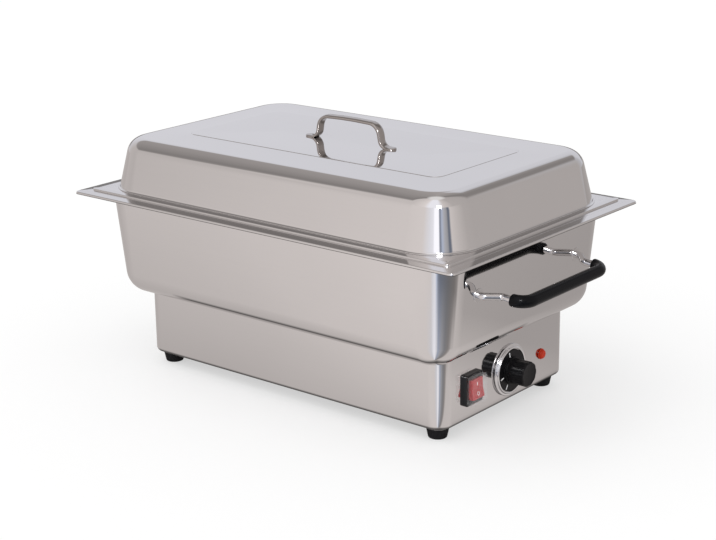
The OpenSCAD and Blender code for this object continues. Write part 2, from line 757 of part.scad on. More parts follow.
module switch_body() color(black) translate([0, switch_y, z_ctrl]) difference() {
  union() {
    translate([panel_x, 0, 0]) rotate([90, 0, 90]) linear_extrude(switch_t)
      rounded_rect(switch_w, switch_h, switch_r);
    translate([switch_back, -switch_body_w / 2, -switch_body_h / 2])
      cube([switch_depth, switch_body_w, switch_body_h]);
    for (p = switch_tabs) translate([switch_back - tab[0], p[0] - tab[1] / 2, p[1] - tab[2] / 2])
      cube([tab[0] + over, tab[1], tab[2]]);
  }
  translate([panel_x - well_depth, -well_w / 2, -well_h / 2]) cube([well_depth + switch_t + over, well_w, well_h]);
  translate([panel_x + switch_t / 2, 0, 0]) rotate([90, 0, 0])
    cylinder(d = rocker_pin_d + 2 * run_fit, h = well_w + 2 * pin_reach, center = true);
}

// The rocker at rest leans back at its top: the switch is off
module switch_rocker() color([0.78, 0.12, 0.1]) translate([panel_x + switch_t / 2, switch_y, z_ctrl]) {
  half = [[rocker_rise, rocker_tip - rocker_edge], [rocker_rise - rocker_edge, rocker_tip],
    [-rocker_edge, rocker_tip - rocker_edge]];
  lower = [for (i = [2 : -1 : 0]) [half[i][0], -half[i][1]]];
  rotate([0, -rocker_throw / 2, 0]) rotate([90, 0, 0]) linear_extrude(rocker_w, center = true)
    polygon([[rocker_rise - rocker_dip, 0], each half, [-rocker_keel, 0], each lower]);
  rotate([90, 0, 0]) cylinder(d = rocker_pin_d, h = well_w + 2 * (pin_reach - pin_gap), center = true);
}

module switch_cover() color([0.9, 0.92, 0.93, 0.4]) translate([panel_x + switch_t, switch_y, z_ctrl])
  rotate([90, 0, 90]) difference() {
    size = [switch_w - 2 * cover_in, switch_h - 2 * cover_in];
    linear_extrude(cover_h) rounded_rect(size[0], size[1], switch_r);
    translate([0, 0, -over]) linear_extrude(cover_h + over - cover_t)
      rounded_rect(size[0] - 2 * cover_t, size[1] - 2 * cover_t, switch_r - cover_t);
  }

// Chrome ring with a low outer rim, lying on the panel round the dial
module thermostat_bezel() color(bright_steel) translate([panel_x, dial_y, z_ctrl]) rotate([0, 90, 0])
  rotate_extrude() {
    inside = dial_d / 2 + bezel_gap;
    crown = bezel_d / 2 - bezel_rim - inside;
    translate([inside, 0]) square([bezel_d / 2 - inside, bezel_rim_t]);
    translate([inside, 0]) square([crown, bezel_h - crown / 2]);
    translate([inside + crown / 2, bezel_h - crown / 2]) circle(d = crown);
  }

// Dial and knob in one, with flutes round the knob and a bore for the shaft
module thermostat_knob() color(black) translate([panel_x, dial_y, z_ctrl]) rotate([0, 90, 0]) difference() {
  dial_top = bezel_h - dial_sink;
  neck = knob_l - knob_edge;
  union() {
    translate([0, 0, dial_top - dial_t]) cylinder(d = dial_d, h = dial_t);
    translate([0, 0, dial_top - over]) cylinder(d = knob_d + 2 * knob_skirt, h = knob_skirt_h + over);
    translate([0, 0, dial_top - over]) cylinder(d = knob_d, h = neck - dial_top + over);
    translate([0, 0, neck]) cylinder(d1 = knob_d, d2 = knob_d - 2 * knob_edge, h = knob_edge);
  }
  for (i = [0 : flutes - 1]) rotate([0, 0, (i + 0.5) * 360 / flutes])
    translate([knob_d / 2 + flute_d / 2 - flute_depth, 0, bezel_h + flute_start]) cylinder(d = flute_d, h = knob_l);
  translate([0, 0, -over]) cylinder(d = shaft_d + 2 * run_fit, h = knob_l - knob_cap + over);
}

module thermostat_shaft() color(brass) along_x([panel_in - thermo_size[0] / 2, dial_y, z_ctrl], shaft_d,
  thermo_size[0] / 2 + base_sheet + knob_l - knob_cap - rest_gap);

module thermostat_body() color(cream) translate([0, dial_y, z_ctrl]) difference() {
  union() {
    translate([thermo_back, -thermo_size[1] / 2, -thermo_size[2] / 2]) cube(thermo_size);
    along_x([panel_in - over, 0, 0], thermo_bush_d, base_sheet + thermo_bush_out + over);
    for (p = thermo_tabs) translate([thermo_back - tab[0], p[0] - tab[1] / 2, p[1] - tab[2] / 2])
      cube([tab[0] + over, tab[1], tab[2]]);
  }
  along_x([panel_in - thermo_size[0] / 2 - rest_gap, 0, 0], shaft_d + 2 * run_fit, thermo_size[0]);
  for (s = [-1, 1]) along_x([panel_in - screw_grip - over, 0, s * thermo_screw_gap / 2], screw_d + 2 * run_fit,
    screw_grip + 2 * over);
}

module thermostat_screws() color(bright_steel) for (s = [-1, 1])
  translate([panel_x, dial_y, z_ctrl + s * thermo_screw_gap / 2]) rotate([0, -90, 0])
    screw(screw_d, base_sheet + screw_grip, screw_head_d, thermo_head_h);

// Sensor bulb between the element's middle runs, with its thin tube to the thermostat
module thermostat_bulb() color([0.8, 0.6, 0.45]) {
  tip = clamp_x[1] - bulb_l / 2;
  end = tip + bulb_l;
  down = end + capillary_lead;
  y = outlet_at[1];
  along_x([tip, y, z_tube], tube_d, bulb_l);
  bent_rod([[end, y, z_tube], [down, y, z_tube], [down, y, outlet_at[2]], outlet_at], capillary_bend, capillary_d);
}

module lamp_lens() color([0.95, 0.32, 0.1]) translate([panel_x + lamp_collar, lamp_y, z_ctrl]) rotate([0, 90, 0])
  rotate_extrude() {
    r = lamp_d / 2 - lamp_collar_w;
    h = lamp_h - lamp_collar;
    square([r, h - lamp_round]);
    square([r - lamp_round, h]);
    translate([r - lamp_round, h - lamp_round]) intersection() {
      circle(lamp_round);
      square(lamp_round);
    }
  }

module lamp_body() color(black) {
  along_x([panel_x, lamp_y, z_ctrl], lamp_d, lamp_collar);
  along_x([panel_x - lamp_depth, lamp_y, z_ctrl], lamp_body_d, lamp_depth);
}

module lamp_nut() color(bright_steel) translate([panel_in, lamp_y, z_ctrl]) rotate([0, -90, 0])
  nut(lamp_nut_w, lamp_nut_t, lamp_body_d + 2 * run_fit);

// One tube in four runs under the water pan, with a terminal pin at each end
module heating_element() color([0.35, 0.34, 0.34]) {
  half = [[element_end, run_y[1]], [far_x, run_y[1]], [far_x, run_y[0]], [near_x, run_y[0]]];
  pts = [for (p = half) [p[0], -p[1], z_tube], for (i = [3 : -1 : 0]) [half[i][0], half[i][1], z_tube]];
  bent_rod(pts, element_bend, tube_d);
  for (s = [-1, 1]) along_x([element_end, s * run_y[1], z_tube], pin_d, pin_l);
}

module element_clamps() color(steel) for (x = clamp_x) difference() {
  bar_l = 2 * run_y[1] + tube_d + 2 * bar_end;
  translate([x - bar_w / 2, -bar_l / 2, z_bar - bar_t]) cube([bar_w, bar_l, bar_t]);
  for (s = [-1, 1]) translate([x, s * element_pitch, z_bar - bar_t - over])
    cylinder(d = stud_d + 2 * bolt_fit, h = bar_t + 2 * over);
}

module overheat_cutout() color(black) translate([cutout_at[0], cutout_at[1], z_floor]) difference() {
  union() {
    translate([0, 0, -cutout_h]) cylinder(d = cutout_d, h = cutout_h);
    translate([-ear_gap / 2, -ear_d / 2, -ear_t]) cube([ear_gap, ear_d, ear_t]);
    for (s = [-1, 1]) translate([s * ear_gap / 2, 0, -ear_t]) cylinder(d = ear_d, h = ear_t);
  }
  for (s = [-1, 1]) translate([s * ear_gap / 2, 0, -ear_t - over])
    cylinder(d = stud_d + 2 * bolt_fit, h = ear_t + 2 * over);
}

module terminal_block() color(cream) difference() {
  translate([block_x - block_size[0] / 2, -block_size[1] / 2, z_base]) cube(block_size);
  for (p = block_screws) translate([p[0], p[1], z_base - over])
    cylinder(d = block_screw_d + 2 * run_fit, h = block_size[2] + 2 * over);
  for (k = [-1, 0, 1]) along_x(block_pole(k) - [block_size[0] + over, 0, 0], block_hole_d, block_size[0] / 2);
}

module terminal_block_screws() color(bright_steel) for (p = block_screws) translate([p[0], p[1], z_base - plate_t])
  screw(block_screw_d, plate_t + block_screw_grip, block_screw_head[0], block_screw_head[1]);

module cord_gland() color(black) difference() {
  tip_x = -panel_x - gland_l - gland_tip_l;
  end_x = -panel_in + gland_thread_l;
  union() {
    along_x([-panel_x - gland_l, gland_y, gland_z], gland_d, gland_l);
    along_x([tip_x, gland_y, gland_z], gland_tip_d, gland_tip_l + over);
    along_x([-panel_x - over, gland_y, gland_z], gland_thread_d, end_x + panel_x + over);
  }
  along_x([tip_x - over, gland_y, gland_z], gland_bore_d, end_x - tip_x + 2 * over);
}

module gland_nut() color(black) translate([-panel_in, gland_y, gland_z]) rotate([0, 90, 0])
  nut(gland_d, gland_nut_t, gland_thread_d + 2 * run_fit);

// Place where a wire meets a tab, as a point on the tab's end
function switch_tab(i) = [switch_back - tab[0], switch_y + switch_tabs[i][0], z_ctrl + switch_tabs[i][1]];
function thermo_tab(i) = [thermo_back - tab[0], dial_y + thermo_tabs[i][0], z_ctrl + thermo_tabs[i][1]];
function block_pole(k) = [block_x + block_size[0] / 2, k * block_pitch, z_base + block_size[2] / 2];
function element_pin(s) = [pins_x, s * run_y[1], z_tube];

// A lead from a pole of the block: along over the bottom plate, sideways, then up to its tab
function lead(from, to, x_side, x_up) = [from, [x_side, from[1], from[2]], [x_side, to[1], from[2]],
  [x_up, to[1], from[2]], [x_up, to[1], to[2]], to];

module wiring() color([0.55, 0.1, 0.1]) {
  lamp_back = [for (s = [-1, 1]) [panel_x - lamp_depth, lamp_y + s * lamp_leads, z_ctrl]];
  lane = [for (i = [0 : 5]) switch_back - tab[0] - wire_start - wire_lane * i];
  z_turn = z_tube - wire_drop;
  routes = [
    lead(block_pole(-1), switch_tab(0), lane[5], lane[4]),
    lead(block_pole(0), switch_tab(1), lane[4], lane[3]),
    lead(block_pole(1), lamp_back[1], lane[5], lane[0]),
    let (a = switch_tab(3), b = thermo_tab(0), x = lane[1])
      [a, [x, a[1], a[2]], [x, b[1], a[2]], [x, b[1], b[2]], b],
    let (a = switch_tab(2), b = element_pin(-1), x = (a[0] + b[0]) / 2)
      [a, [x, a[1], a[2]], [x, a[1], z_turn], [x, b[1], z_turn], [x, b[1], b[2]], b],
    let (a = thermo_tab(1), b = element_pin(1), x = (a[0] + b[0]) / 2)
      [a, [x, a[1], a[2]], [x, b[1], a[2]], [x, b[1], b[2]], b],
    let (a = thermo_tab(2), b = lamp_back[0], x = lane[2])
      [a, [x, a[1], a[2]], [x, b[1], a[2]], [x, b[1], b[2]], b]];
  for (r = routes) bent_rod(r, wire_bend, wire_d);
}

lid_shell();
lid_handle();
food_pan();
top_frame();
water_pan();
base_housing();
bottom_plate();
bottom_plate_screws();
for (i = [0 : 3]) foot(i);
foot_screws();
foot_nuts();
handle_rod(1);  // right_handle_rod
handle_grip(1);  // right_handle_grip
handle_rod(-1);  // left_handle_rod
handle_grip(-1);  // left_handle_grip
handle_washers();
handle_nuts();
pan_studs();
pan_nuts();
switch_body();
switch_rocker();
switch_cover();
thermostat_bezel();
thermostat_knob();
thermostat_shaft();
thermostat_body();
thermostat_screws();
thermostat_bulb();
lamp_lens();
lamp_body();
lamp_nut();
heating_element();
element_clamps();
overheat_cutout();
terminal_block();
terminal_block_screws();
cord_gland();
gland_nut();
wiring();
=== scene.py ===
"""Electric chafing dish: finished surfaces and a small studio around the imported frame."""

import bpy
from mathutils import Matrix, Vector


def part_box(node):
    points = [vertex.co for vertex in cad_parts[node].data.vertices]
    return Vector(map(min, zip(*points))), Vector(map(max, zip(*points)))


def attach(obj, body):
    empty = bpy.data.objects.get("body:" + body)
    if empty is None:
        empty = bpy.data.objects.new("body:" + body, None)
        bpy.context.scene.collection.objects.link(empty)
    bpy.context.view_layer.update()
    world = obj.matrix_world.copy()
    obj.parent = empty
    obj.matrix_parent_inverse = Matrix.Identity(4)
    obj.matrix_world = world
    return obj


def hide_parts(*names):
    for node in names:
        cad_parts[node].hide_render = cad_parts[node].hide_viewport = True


bl_info = {
    "name": "Chafing dish",
    "version": (1, 0, 0),
    "blender": (4, 5, 0),
    "location": "3D View > Sidebar > Chafing dish",
    "description": "Makes the finished pieces of an electric chafing dish on its frame",
    "category": "Object",
}

import math

import bpy
import numpy as np
from bpy.props import FloatProperty, FloatVectorProperty, IntProperty, PointerProperty
from mathutils import Matrix, Vector

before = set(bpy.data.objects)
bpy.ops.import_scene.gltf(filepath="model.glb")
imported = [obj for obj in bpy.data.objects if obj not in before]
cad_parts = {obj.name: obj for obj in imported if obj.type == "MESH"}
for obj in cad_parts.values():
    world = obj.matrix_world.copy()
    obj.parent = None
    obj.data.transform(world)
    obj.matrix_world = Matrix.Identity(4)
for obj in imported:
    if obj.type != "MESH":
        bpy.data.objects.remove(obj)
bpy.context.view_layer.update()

MM = 0.001
TURN = 2 * np.pi
CORNER_POINTS = 17
SPIN_POINTS = 96
SHARP = math.radians(38)
Y, Z = 1, 2


def middle_of(node, axis):
    """The middle of a frame node's box along one axis, in millimetres."""
    low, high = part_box(node)
    return (low[axis] + high[axis]) / 2 / MM


# Heights and places that the pieces share, read from the frame, in millimetres
LID_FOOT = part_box("lid_shell")[0].z / MM
LID_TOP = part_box("lid_shell")[1].z / MM
TUB_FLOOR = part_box("base_housing")[1].z / MM
BASE_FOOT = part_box("base_housing")[0].z / MM
CONTROL_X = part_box("thermostat_bezel")[0].x / MM
CONTROL_Z = middle_of("thermostat_bezel", Z)
DIAL_Y = middle_of("thermostat_bezel", Y)
SWITCH_Y = middle_of("switch_cover", Y)
LAMP_Y = middle_of("lamp_lens", Y)
GLAND_Z = middle_of("cord_gland", Z)


# Sizes and colours that a user would change


def length(name, description, default):
    """A size in metres, given here in millimetres."""
    return FloatProperty(name=name, description=description, default=default * MM, unit="LENGTH", min=0.0)


def angle(name, description, default):
    """An angle, given here in degrees."""
    return FloatProperty(name=name, description=description, default=math.radians(default), subtype="ANGLE")


def colour(name, description, default):
    """A linear colour."""
    return FloatVectorProperty(name=name, description=description, default=default, size=3,
                               subtype="COLOR", min=0.0, max=1.0)


class LidSizes(bpy.types.PropertyGroup):
    """Sizes of the lid and its handle"""
    half_length: length("Half length", "Half the length of the lid's foot", 277)
    half_width: length("Half width", "Half the width of the lid's foot", 172)
    corner: length("Corner radius", "Corner radius of the lid's foot", 61)
    rim: length("Rim", "Width of the turned-out rim", 2.5)
    top_round: length("Top edge", "Radius of the edge round the top", 22)
    draft: angle("Draft", "Lean of the walls", 13)
    sheet: length("Sheet", "Thickness of the sheet", 1)
    panel_half_length: length("Panel half length", "Half the length of the lid's panel", 199.5)
    panel_half_width: length("Panel half width", "Half the width of the lid's panel", 86.5)
    panel_corner: length("Panel corner", "Corner radius of the lid's panel", 14)
    panel_drop: length("Panel drop", "Depth of the panel's middle under the lid's top", 2)
    panel_step: length("Panel step", "Height of the fine step round the panel", 0.42)
    panel_slope: length("Panel slope", "Width of the fine step round the panel", 0.7)
    strap_width: length("Strap width", "Width of the handle's strap", 12)
    strap_thickness: length("Strap thickness", "Thickness of the handle's strap", 4.5)
    strap_bend: length("Strap bend", "Middle radius of the handle's upper bends", 15.5)
    strap_knee: length("Strap knee", "Middle radius of the handle's lower bends", 10)


class PanSizes(bpy.types.PropertyGroup):
    """Sizes of the food pan, the top frame and the water pan"""
    food_half_length: length("Food pan half length", "Half the length of the food pan's mouth", 253)
    food_half_width: length("Food pan half width", "Half the width of the food pan's mouth", 150.5)
    food_corner: length("Food pan corner", "Corner radius of the food pan's mouth", 60)
    food_round: length("Food pan bottom edge", "Radius of the food pan's bottom edge", 24)
    food_sheet: length("Food pan sheet", "Thickness of the food pan", 0.8)
    tub_half_length: length("Tub half length", "Half the length of the tub at its top", 272.5)
    tub_half_width: length("Tub half width", "Half the width of the tub at its top", 174)
    tub_corner: length("Tub corner", "Corner radius of the tub at its top", 46)
    tub_round: length("Tub bottom edge", "Radius of the tub's bottom edge", 30)
    tub_sheet: length("Tub sheet", "Thickness of the tub", 1)
    tub_draft: angle("Tub draft", "Lean of the tub's walls", 5)
    food_draft: angle("Food pan draft", "Lean of the food pan's walls", 4)


class BaseSizes(bpy.types.PropertyGroup):
    """Sizes of the base, its feet and the side handles"""
    half_length: length("Half length", "Half the length of the base", 239)
    half_width: length("Half width", "Half the width of the base", 131)
    corner: length("Corner radius", "Corner radius of the base", 20)
    foot_edge: length("Foot edge", "Radius of the base's bottom edge", 5)
    sheet: length("Sheet", "Thickness of the base's sheet", 1.2)
    rod: length("Rod", "Diameter of the side handles' rod", 9)
    sleeve: length("Sleeve", "Diameter of the side handles' sleeve", 15)
    bolt_span: length("Bolt span", "Distance between a side handle's bolts", 204)
    arm_span: length("Arm span", "Distance between a side handle's arms", 172)
    reach: length("Reach", "Distance from the wall to the middle of the bar", 52)


class ControlSizes(bpy.types.PropertyGroup):
    """Sizes of the controls"""
    bezel: length("Bezel", "Diameter of the thermostat's bezel", 65.5)
    dial: length("Dial", "Diameter of the thermostat's dial", 52)
    knob: length("Knob", "Diameter of the thermostat's knob", 31)
    flutes: IntProperty(name="Flutes", description="Number of finger flutes on the knob", default=10, min=3)
    switch_width: length("Switch width", "Width of the switch's frame", 33)
    switch_height: length("Switch height", "Height of the switch's frame", 38.5)
    lamp: length("Lamp", "Diameter of the pilot lamp's collar", 13.5)


class Finishes(bpy.types.PropertyGroup):
    """Colours of the finishes"""
    steel: colour("Steel", "Polished steel", (0.745, 0.735, 0.735))
    black: colour("Black", "Moulded black plastic", (0.0045, 0.0045, 0.0055))
    rubber: colour("Rubber", "Foot rubber", (0.011, 0.011, 0.0125))
    red: colour("Red", "Switch rocker", (0.42, 0.008, 0.012))
    orange: colour("Orange", "Pilot lamp lens", (0.5, 0.03, 0.007))
    white: colour("White", "Printed marks", (0.86, 0.86, 0.87))


# Points and surfaces


def arc(centre, radius, start, end, steps):
    """Points on a circle: centre plus radius times cosine and sine of angles between two in degrees."""
    t = np.radians(np.linspace(start, end, steps + 1))
    return np.stack([centre[0] + radius * np.cos(t), centre[1] + radius * np.sin(t)], -1)


def rectangle(low, high):
    """The four corners of a rectangle, in turn, from two opposite ones."""
    return np.array([low, (high[0], low[1]), high, (low[0], high[1])], float)


def rows(*stretches):
    """Rows of a surface one after another."""
    return np.concatenate([np.atleast_2d(np.array(s, float)) for s in stretches])


def grown(box, line):
    """Rows of [half length, half width, corner radius, height] for a box and a line of (growth, height)."""
    line = np.atleast_2d(np.array(line, float))
    growth = line[:, 0]
    return np.stack([box[0] + growth, box[1] + growth, box[2] + growth, line[:, 1]], -1)


def around(axis, line):
    """Rows as grown gives, for a line of (distance from the corner's axis, height)."""
    return grown((*axis, 0), line)


def rounded_rings(table):
    """Rings of points: in each quarter, the corner's centre plus radius times cosine and sine of the turn."""
    half_x, half_y, radius, height = (table[:, k, None] for k in range(4))
    quarter = np.repeat(np.arange(4), CORNER_POINTS)
    turn = quarter * TURN / 4 + np.tile(np.linspace(0, TURN / 4, CORNER_POINTS), 4)
    side_x = np.sign(np.cos(quarter * TURN / 4 + TURN / 8))
    side_y = np.sign(np.sin(quarter * TURN / 4 + TURN / 8))
    x = side_x * (half_x - radius) + radius * np.cos(turn)
    y = side_y * (half_y - radius) + radius * np.sin(turn)
    return np.stack([x, y, height + 0 * x], -1)


def spun_rings(line, count=SPIN_POINTS, wave=None):
    """Rings of points: radius times cosine and sine of the turn, at a height; wave adds to the radius."""
    line = np.array(line, float)
    turn = np.arange(count) * TURN / count
    radius = line[:, 0, None] + (0 * turn if wave is None else wave(line[:, 1, None], turn))
    return np.stack([radius * np.cos(turn), radius * np.sin(turn), line[:, 1, None] + 0 * radius], -1)


def placed(grid, origin, along="z"):
    """The grid with its height turned to run along an axis, moved to an origin."""
    a, b, h = grid[..., 0], grid[..., 1], grid[..., 2]
    turned = {"z": (a, b, h), "x": (h, a, b), "-x": (-h, -a, b)}[along]
    return np.stack(turned, -1) + np.array(origin, float)


def bent_line(points, radii, steps):
    """Points along straight runs in a plane whose corners are arcs that touch both runs."""
    line = [np.array(points[0], float)]
    for before, corner, after, radius in zip(points, points[1:], points[2:], radii):
        a = np.subtract(corner, before) / np.linalg.norm(np.subtract(corner, before))
        b = np.subtract(after, corner) / np.linalg.norm(np.subtract(after, corner))
        turn = math.acos(np.clip(a @ b, -1, 1))
        inward = np.sign(a[0] * b[1] - a[1] * b[0]) * np.array([-a[1], a[0]])
        t = np.linspace(0, turn, steps + 1)[:, None]
        start = np.array(corner) - radius * math.tan(turn / 2) * a
        line.extend(start + radius * np.sin(t) * a + radius * (1 - np.cos(t)) * inward)
    line.append(np.array(points[-1], float))
    return np.array(line)


def evened(line, step):
    """The line cut again at even distances of about one step, keeping its ends."""
    run = np.concatenate([[0], np.cumsum(np.linalg.norm(np.diff(line, axis=0), axis=1))])
    s = np.linspace(0, run[-1], max(2, int(round(run[-1] / step)) + 1))
    return np.stack([np.interp(s, run, line[:, k]) for k in range(line.shape[1])], -1), s


def swept(line, across, upward):
    """Rows of section points: a line in XY plus its sideways normal times across and Z times upward."""
    run = np.gradient(line, axis=0)
    run /= np.linalg.norm(run, axis=1)[:, None]
    x = line[:, 0, None] - run[:, 1, None] * across
    y = line[:, 1, None] + run[:, 0, None] * across
    return np.stack([x, y, upward + 0 * x], -1)


def quads_between(low, high):
    """Four-sided faces between rings of point numbers and the rings next to them."""
    return np.stack([low, np.roll(low, -1, 1), np.roll(high, -1, 1), high], -1).reshape(-1, 4)


def skin(grid, ring=False):
    """A closed surface over rings: neighbours are joined, and the two ends are capped or joined up."""
    count, around_it = grid.shape[:2]
    index = np.arange(count * around_it).reshape(count, around_it)
    quads = quads_between(index, np.roll(index, -1, 0)) if ring else quads_between(index[:-1], index[1:])
    points = grid.reshape(-1, 3)
    a, b, c, d = (points[quads[:, k]] for k in range(4))
    volume = np.einsum("ij,ij->", np.cross(a, b), c) + np.einsum("ij,ij->", np.cross(a, c), d)
    faces = quads.tolist()
    if not ring:
        for cap in (index[0][::-1], index[-1]):
            p = points[cap]
            volume += np.einsum("ij,ij->", np.cross(np.broadcast_to(p[0], p[1:-1].shape), p[1:-1]), p[2:])
            faces.append(cap.tolist())
    if volume < 0:
        faces = [f[::-1] for f in faces]
    return points, faces


def box_skin(low, high, round_off):
    """A small block with rounded upright edges between two corners."""
    low, high = np.array(low, float), np.array(high, float)
    half, middle = (high - low) / 2, (high + low) / 2
    block = (half[0], half[1], round_off)
    grid = rounded_rings(grown(block, [(0, -half[2]), (0, half[2])]))
    return skin(grid + middle)


def make_piece(name, skins, finishes, body, node):
    """One mesh object from closed surfaces in millimetres, riding on a body and standing for a frame node.
    Finishes names one finish for each surface, or a single one for all."""
    if isinstance(finishes, str):
        finishes = [finishes] * len(skins)
    used = list(dict.fromkeys(finishes))
    points, faces, slots, start = [], [], [], 0
    for (skin_points, skin_faces), finish in zip(skins, finishes):
        points.append(skin_points * MM)
        faces.extend([[i + start for i in f] for f in skin_faces])
        slots.extend([used.index(finish)] * len(skin_faces))
        start += len(skin_points)
    mesh = bpy.data.meshes.new(name)
    mesh.from_pydata(np.concatenate(points).tolist(), [], faces)
    for finish in used:
        mesh.materials.append(FINISH[finish])
    mesh.polygons.foreach_set("material_index", slots)
    mesh.polygons.foreach_set("use_smooth", [True] * len(faces))
    mesh.set_sharp_from_angle(angle=SHARP)
    mesh.validate()
    piece = bpy.data.objects.new(name, mesh)
    bpy.context.scene.collection.objects.link(piece)
    weighted = piece.modifiers.new("Even shading", "WEIGHTED_NORMAL")
    weighted.keep_sharp = True
    weighted.weight = 90
    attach(piece, body)
    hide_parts(node)


# Shader sums and finishes


def math_operator(operation, swapped=False):
    """A method that adds one Math node for an operator, its terms swapped for the reflected form."""

    def apply(wire, other):
        return wire.sum(operation, other, wire) if swapped else wire.sum(operation, wire, other)

    return apply


class Wire:
    """A shader socket that takes part in sums: each operator adds one Math node to its tree."""

    def __init__(self, nodes, socket):
        self.nodes = nodes
        self.socket = socket

    def sum(self, operation, *terms):
        """One Math node over the terms."""
        return self.nodes.node("ShaderNodeMath", {"operation": operation}, dict(enumerate(terms)))

    __add__, __radd__ = math_operator("ADD"), math_operator("ADD", True)
    __sub__, __rsub__ = math_operator("SUBTRACT"), math_operator("SUBTRACT", True)
    __mul__, __rmul__ = math_operator("MULTIPLY"), math_operator("MULTIPLY", True)
    __truediv__, __rtruediv__ = math_operator("DIVIDE"), math_operator("DIVIDE", True)
    __pow__, __rpow__ = math_operator("POWER"), math_operator("POWER", True)
    __lt__, __gt__ = math_operator("LESS_THAN"), math_operator("GREATER_THAN")


class Nodes:
    """The node tree of a material or a world."""

    def __init__(self, owner):
        owner.use_nodes = True
        self.tree = owner.node_tree

    def node(self, kind, settings=None, sockets=None, out=0):
        """Adds a node, sets its settings first and then its sockets, and gives one of its outputs."""
        made = self.tree.nodes.new(kind)
        for key, value in (settings or {}).items():
            if key == "stops":
                ramp = made.color_ramp.elements
                while len(ramp) < len(value):
                    ramp.new(0.5)
                for stop, (place, shade) in zip(ramp, value):
                    stop.position = place
                    stop.color = (*shade, 1.0)
            else:
                setattr(made, key, value)
        for key, value in (sockets or {}).items():
            self.fill(made.inputs[key], value)
        return Wire(self, made.outputs[out])

    def several(self, kind, names, sockets=None):
        """Adds one node and gives several of its outputs by name."""
        made = self.node(kind, {}, sockets).socket.node
        return [Wire(self, made.outputs[name]) for name in names]

    def fill(self, socket, value):
        """Links a wire to a socket, or sets the socket's own value."""
        if isinstance(value, Wire):
            self.tree.links.new(value.socket, socket)
        elif socket.type == "RGBA":
            socket.default_value = (*value, 1.0)
        else:
            socket.default_value = value


class Paint(Nodes):
    """One material and its node tree."""

    def __init__(self, name):
        self.material = bpy.data.materials.new(name)
        super().__init__(self.material)
        self.shader = self.tree.nodes["Principled BSDF"]
        self.output = self.tree.nodes["Material Output"]

    def noise(self, scale, detail, rough, stretch=(1, 1, 1)):
        """Smooth noise from 0 to 1 of a given count per metre, on the piece's own place."""
        place = self.node("ShaderNodeTexCoord", out="Object")
        stretched = self.node("ShaderNodeMapping", {}, {"Vector": place, "Scale": stretch})
        return self.node("ShaderNodeTexNoise", {"noise_dimensions": "3D"},
                         {"Vector": stretched, "Scale": scale, "Detail": detail, "Roughness": rough})

    def mixed(self, factor, first, second):
        """One colour blended into another."""
        return self.node("ShaderNodeMix", {"data_type": "RGBA"}, {0: factor, 6: first, 7: second}, out=2)

    def bump(self, height, strength, distance):
        """A surface normal pressed by a height."""
        return self.node("ShaderNodeBump", {}, {"Strength": strength, "Distance": distance, "Height": height})

    def shade(self, **inputs):
        """Sets the surface shader's sockets by name, with _ for a space."""
        for key, value in inputs.items():
            self.fill(self.shader.inputs[key.replace("_", " ")], value)
        return self.material


def toned(base, share, lift=0.0):
    """A colour times a share plus a lift, up to white."""
    return [min(1.0, share * c + lift) for c in base]


def polished_steel(name, base, gloss, grain, lines=0.02, painted_shade_line=None):
    """Polished sheet: faint cloudy smears, fine polishing lines and a slight wave.
    Past a given height and side, 1 above or -1 below, the sheet is painted dark and rougher: painted shade
    standing in for the shadow in the crevice where it meets the next part."""
    p = Paint(name)
    smear = p.noise(9.0, 4.0, 0.6)
    line = p.noise(420.0, 2.0, 0.5, grain)
    wave = p.noise(11.0, 1.0, 0.4)
    rough = gloss + 0.03 * smear * smear + 0.012 * line
    tone = p.mixed(0.5 * smear + 0.3 * line, toned(base, 0.97), toned(base, 1.03))
    # Painted shade: a dark band past a height, in place of the shadow in a crevice between parts
    if painted_shade_line is not None:
        height, side = painted_shade_line
        fade = 0.5 * MM
        place = p.node("ShaderNodeTexCoord", out="Object")
        up = p.node("ShaderNodeSeparateXYZ", {}, {0: place}, out="Z")
        painted_shade = p.node("ShaderNodeClamp", {}, {0: (up - height) * (side / fade)})
        tone = p.mixed(painted_shade, tone, toned(base, 0.08))
        rough = rough + 0.3 * painted_shade
    press = p.bump(wave + lines * line, 0.12, 0.0015)
    return p.shade(Base_Color=tone, Metallic=1.0, Roughness=rough, Normal=press)


def turned_steel(name, base, gloss):
    """Small bright fittings: even polish with fine marks."""
    p = Paint(name)
    mark = p.noise(900.0, 3.0, 0.6)
    tone = p.mixed(mark, toned(base, 0.9), base)
    return p.shade(Base_Color=tone, Metallic=1.0, Roughness=gloss + 0.08 * mark,
                   Normal=p.bump(mark, 0.05, 0.0002))


def moulded(name, base, gloss, speck=1600.0, depth=0.08, level=0.5):
    """Moulded plastic or rubber: a fine spark-eroded grain, with paler wear where the grain is high."""
    p = Paint(name)
    grain = p.noise(speck, 3.0, 0.6)
    cloud = p.noise(40.0, 3.0, 0.5)
    tone = p.mixed(0.6 * grain + 0.4 * cloud, base, toned(base, 1.5, 0.0008))
    rough = gloss + 0.12 * cloud + 0.06 * grain
    return p.shade(Base_Color=tone, Roughness=rough, Normal=p.bump(grain, depth, 0.0003),
                   Specular_IOR_Level=level)


def clear_plastic(name):
    """Thin clear cover: almost nothing face on, pale at its edges."""
    p = Paint(name)
    edge = p.node("ShaderNodeLayerWeight", {}, {"Blend": 0.25}, out="Facing")
    haze = p.noise(300.0, 2.0, 0.5)
    p.material.surface_render_method = "BLENDED"
    return p.shade(Base_Color=(0.86, 0.86, 0.87), Roughness=0.06 + 0.04 * haze,
                   Alpha=0.05 + 0.4 * edge * edge + 0.02 * haze)


def glowing_lens(name, base):
    """Pilot lamp lens: cloudy deep orange-red with a faint glow."""
    p = Paint(name)
    cloud = p.noise(500.0, 2.0, 0.5)
    tone = p.mixed(cloud, toned(base, 0.75), base)
    return p.shade(Base_Color=tone, Roughness=0.22 + 0.06 * cloud, Specular_IOR_Level=0.2,
                   Emission_Color=tone, Emission_Strength=0.15)


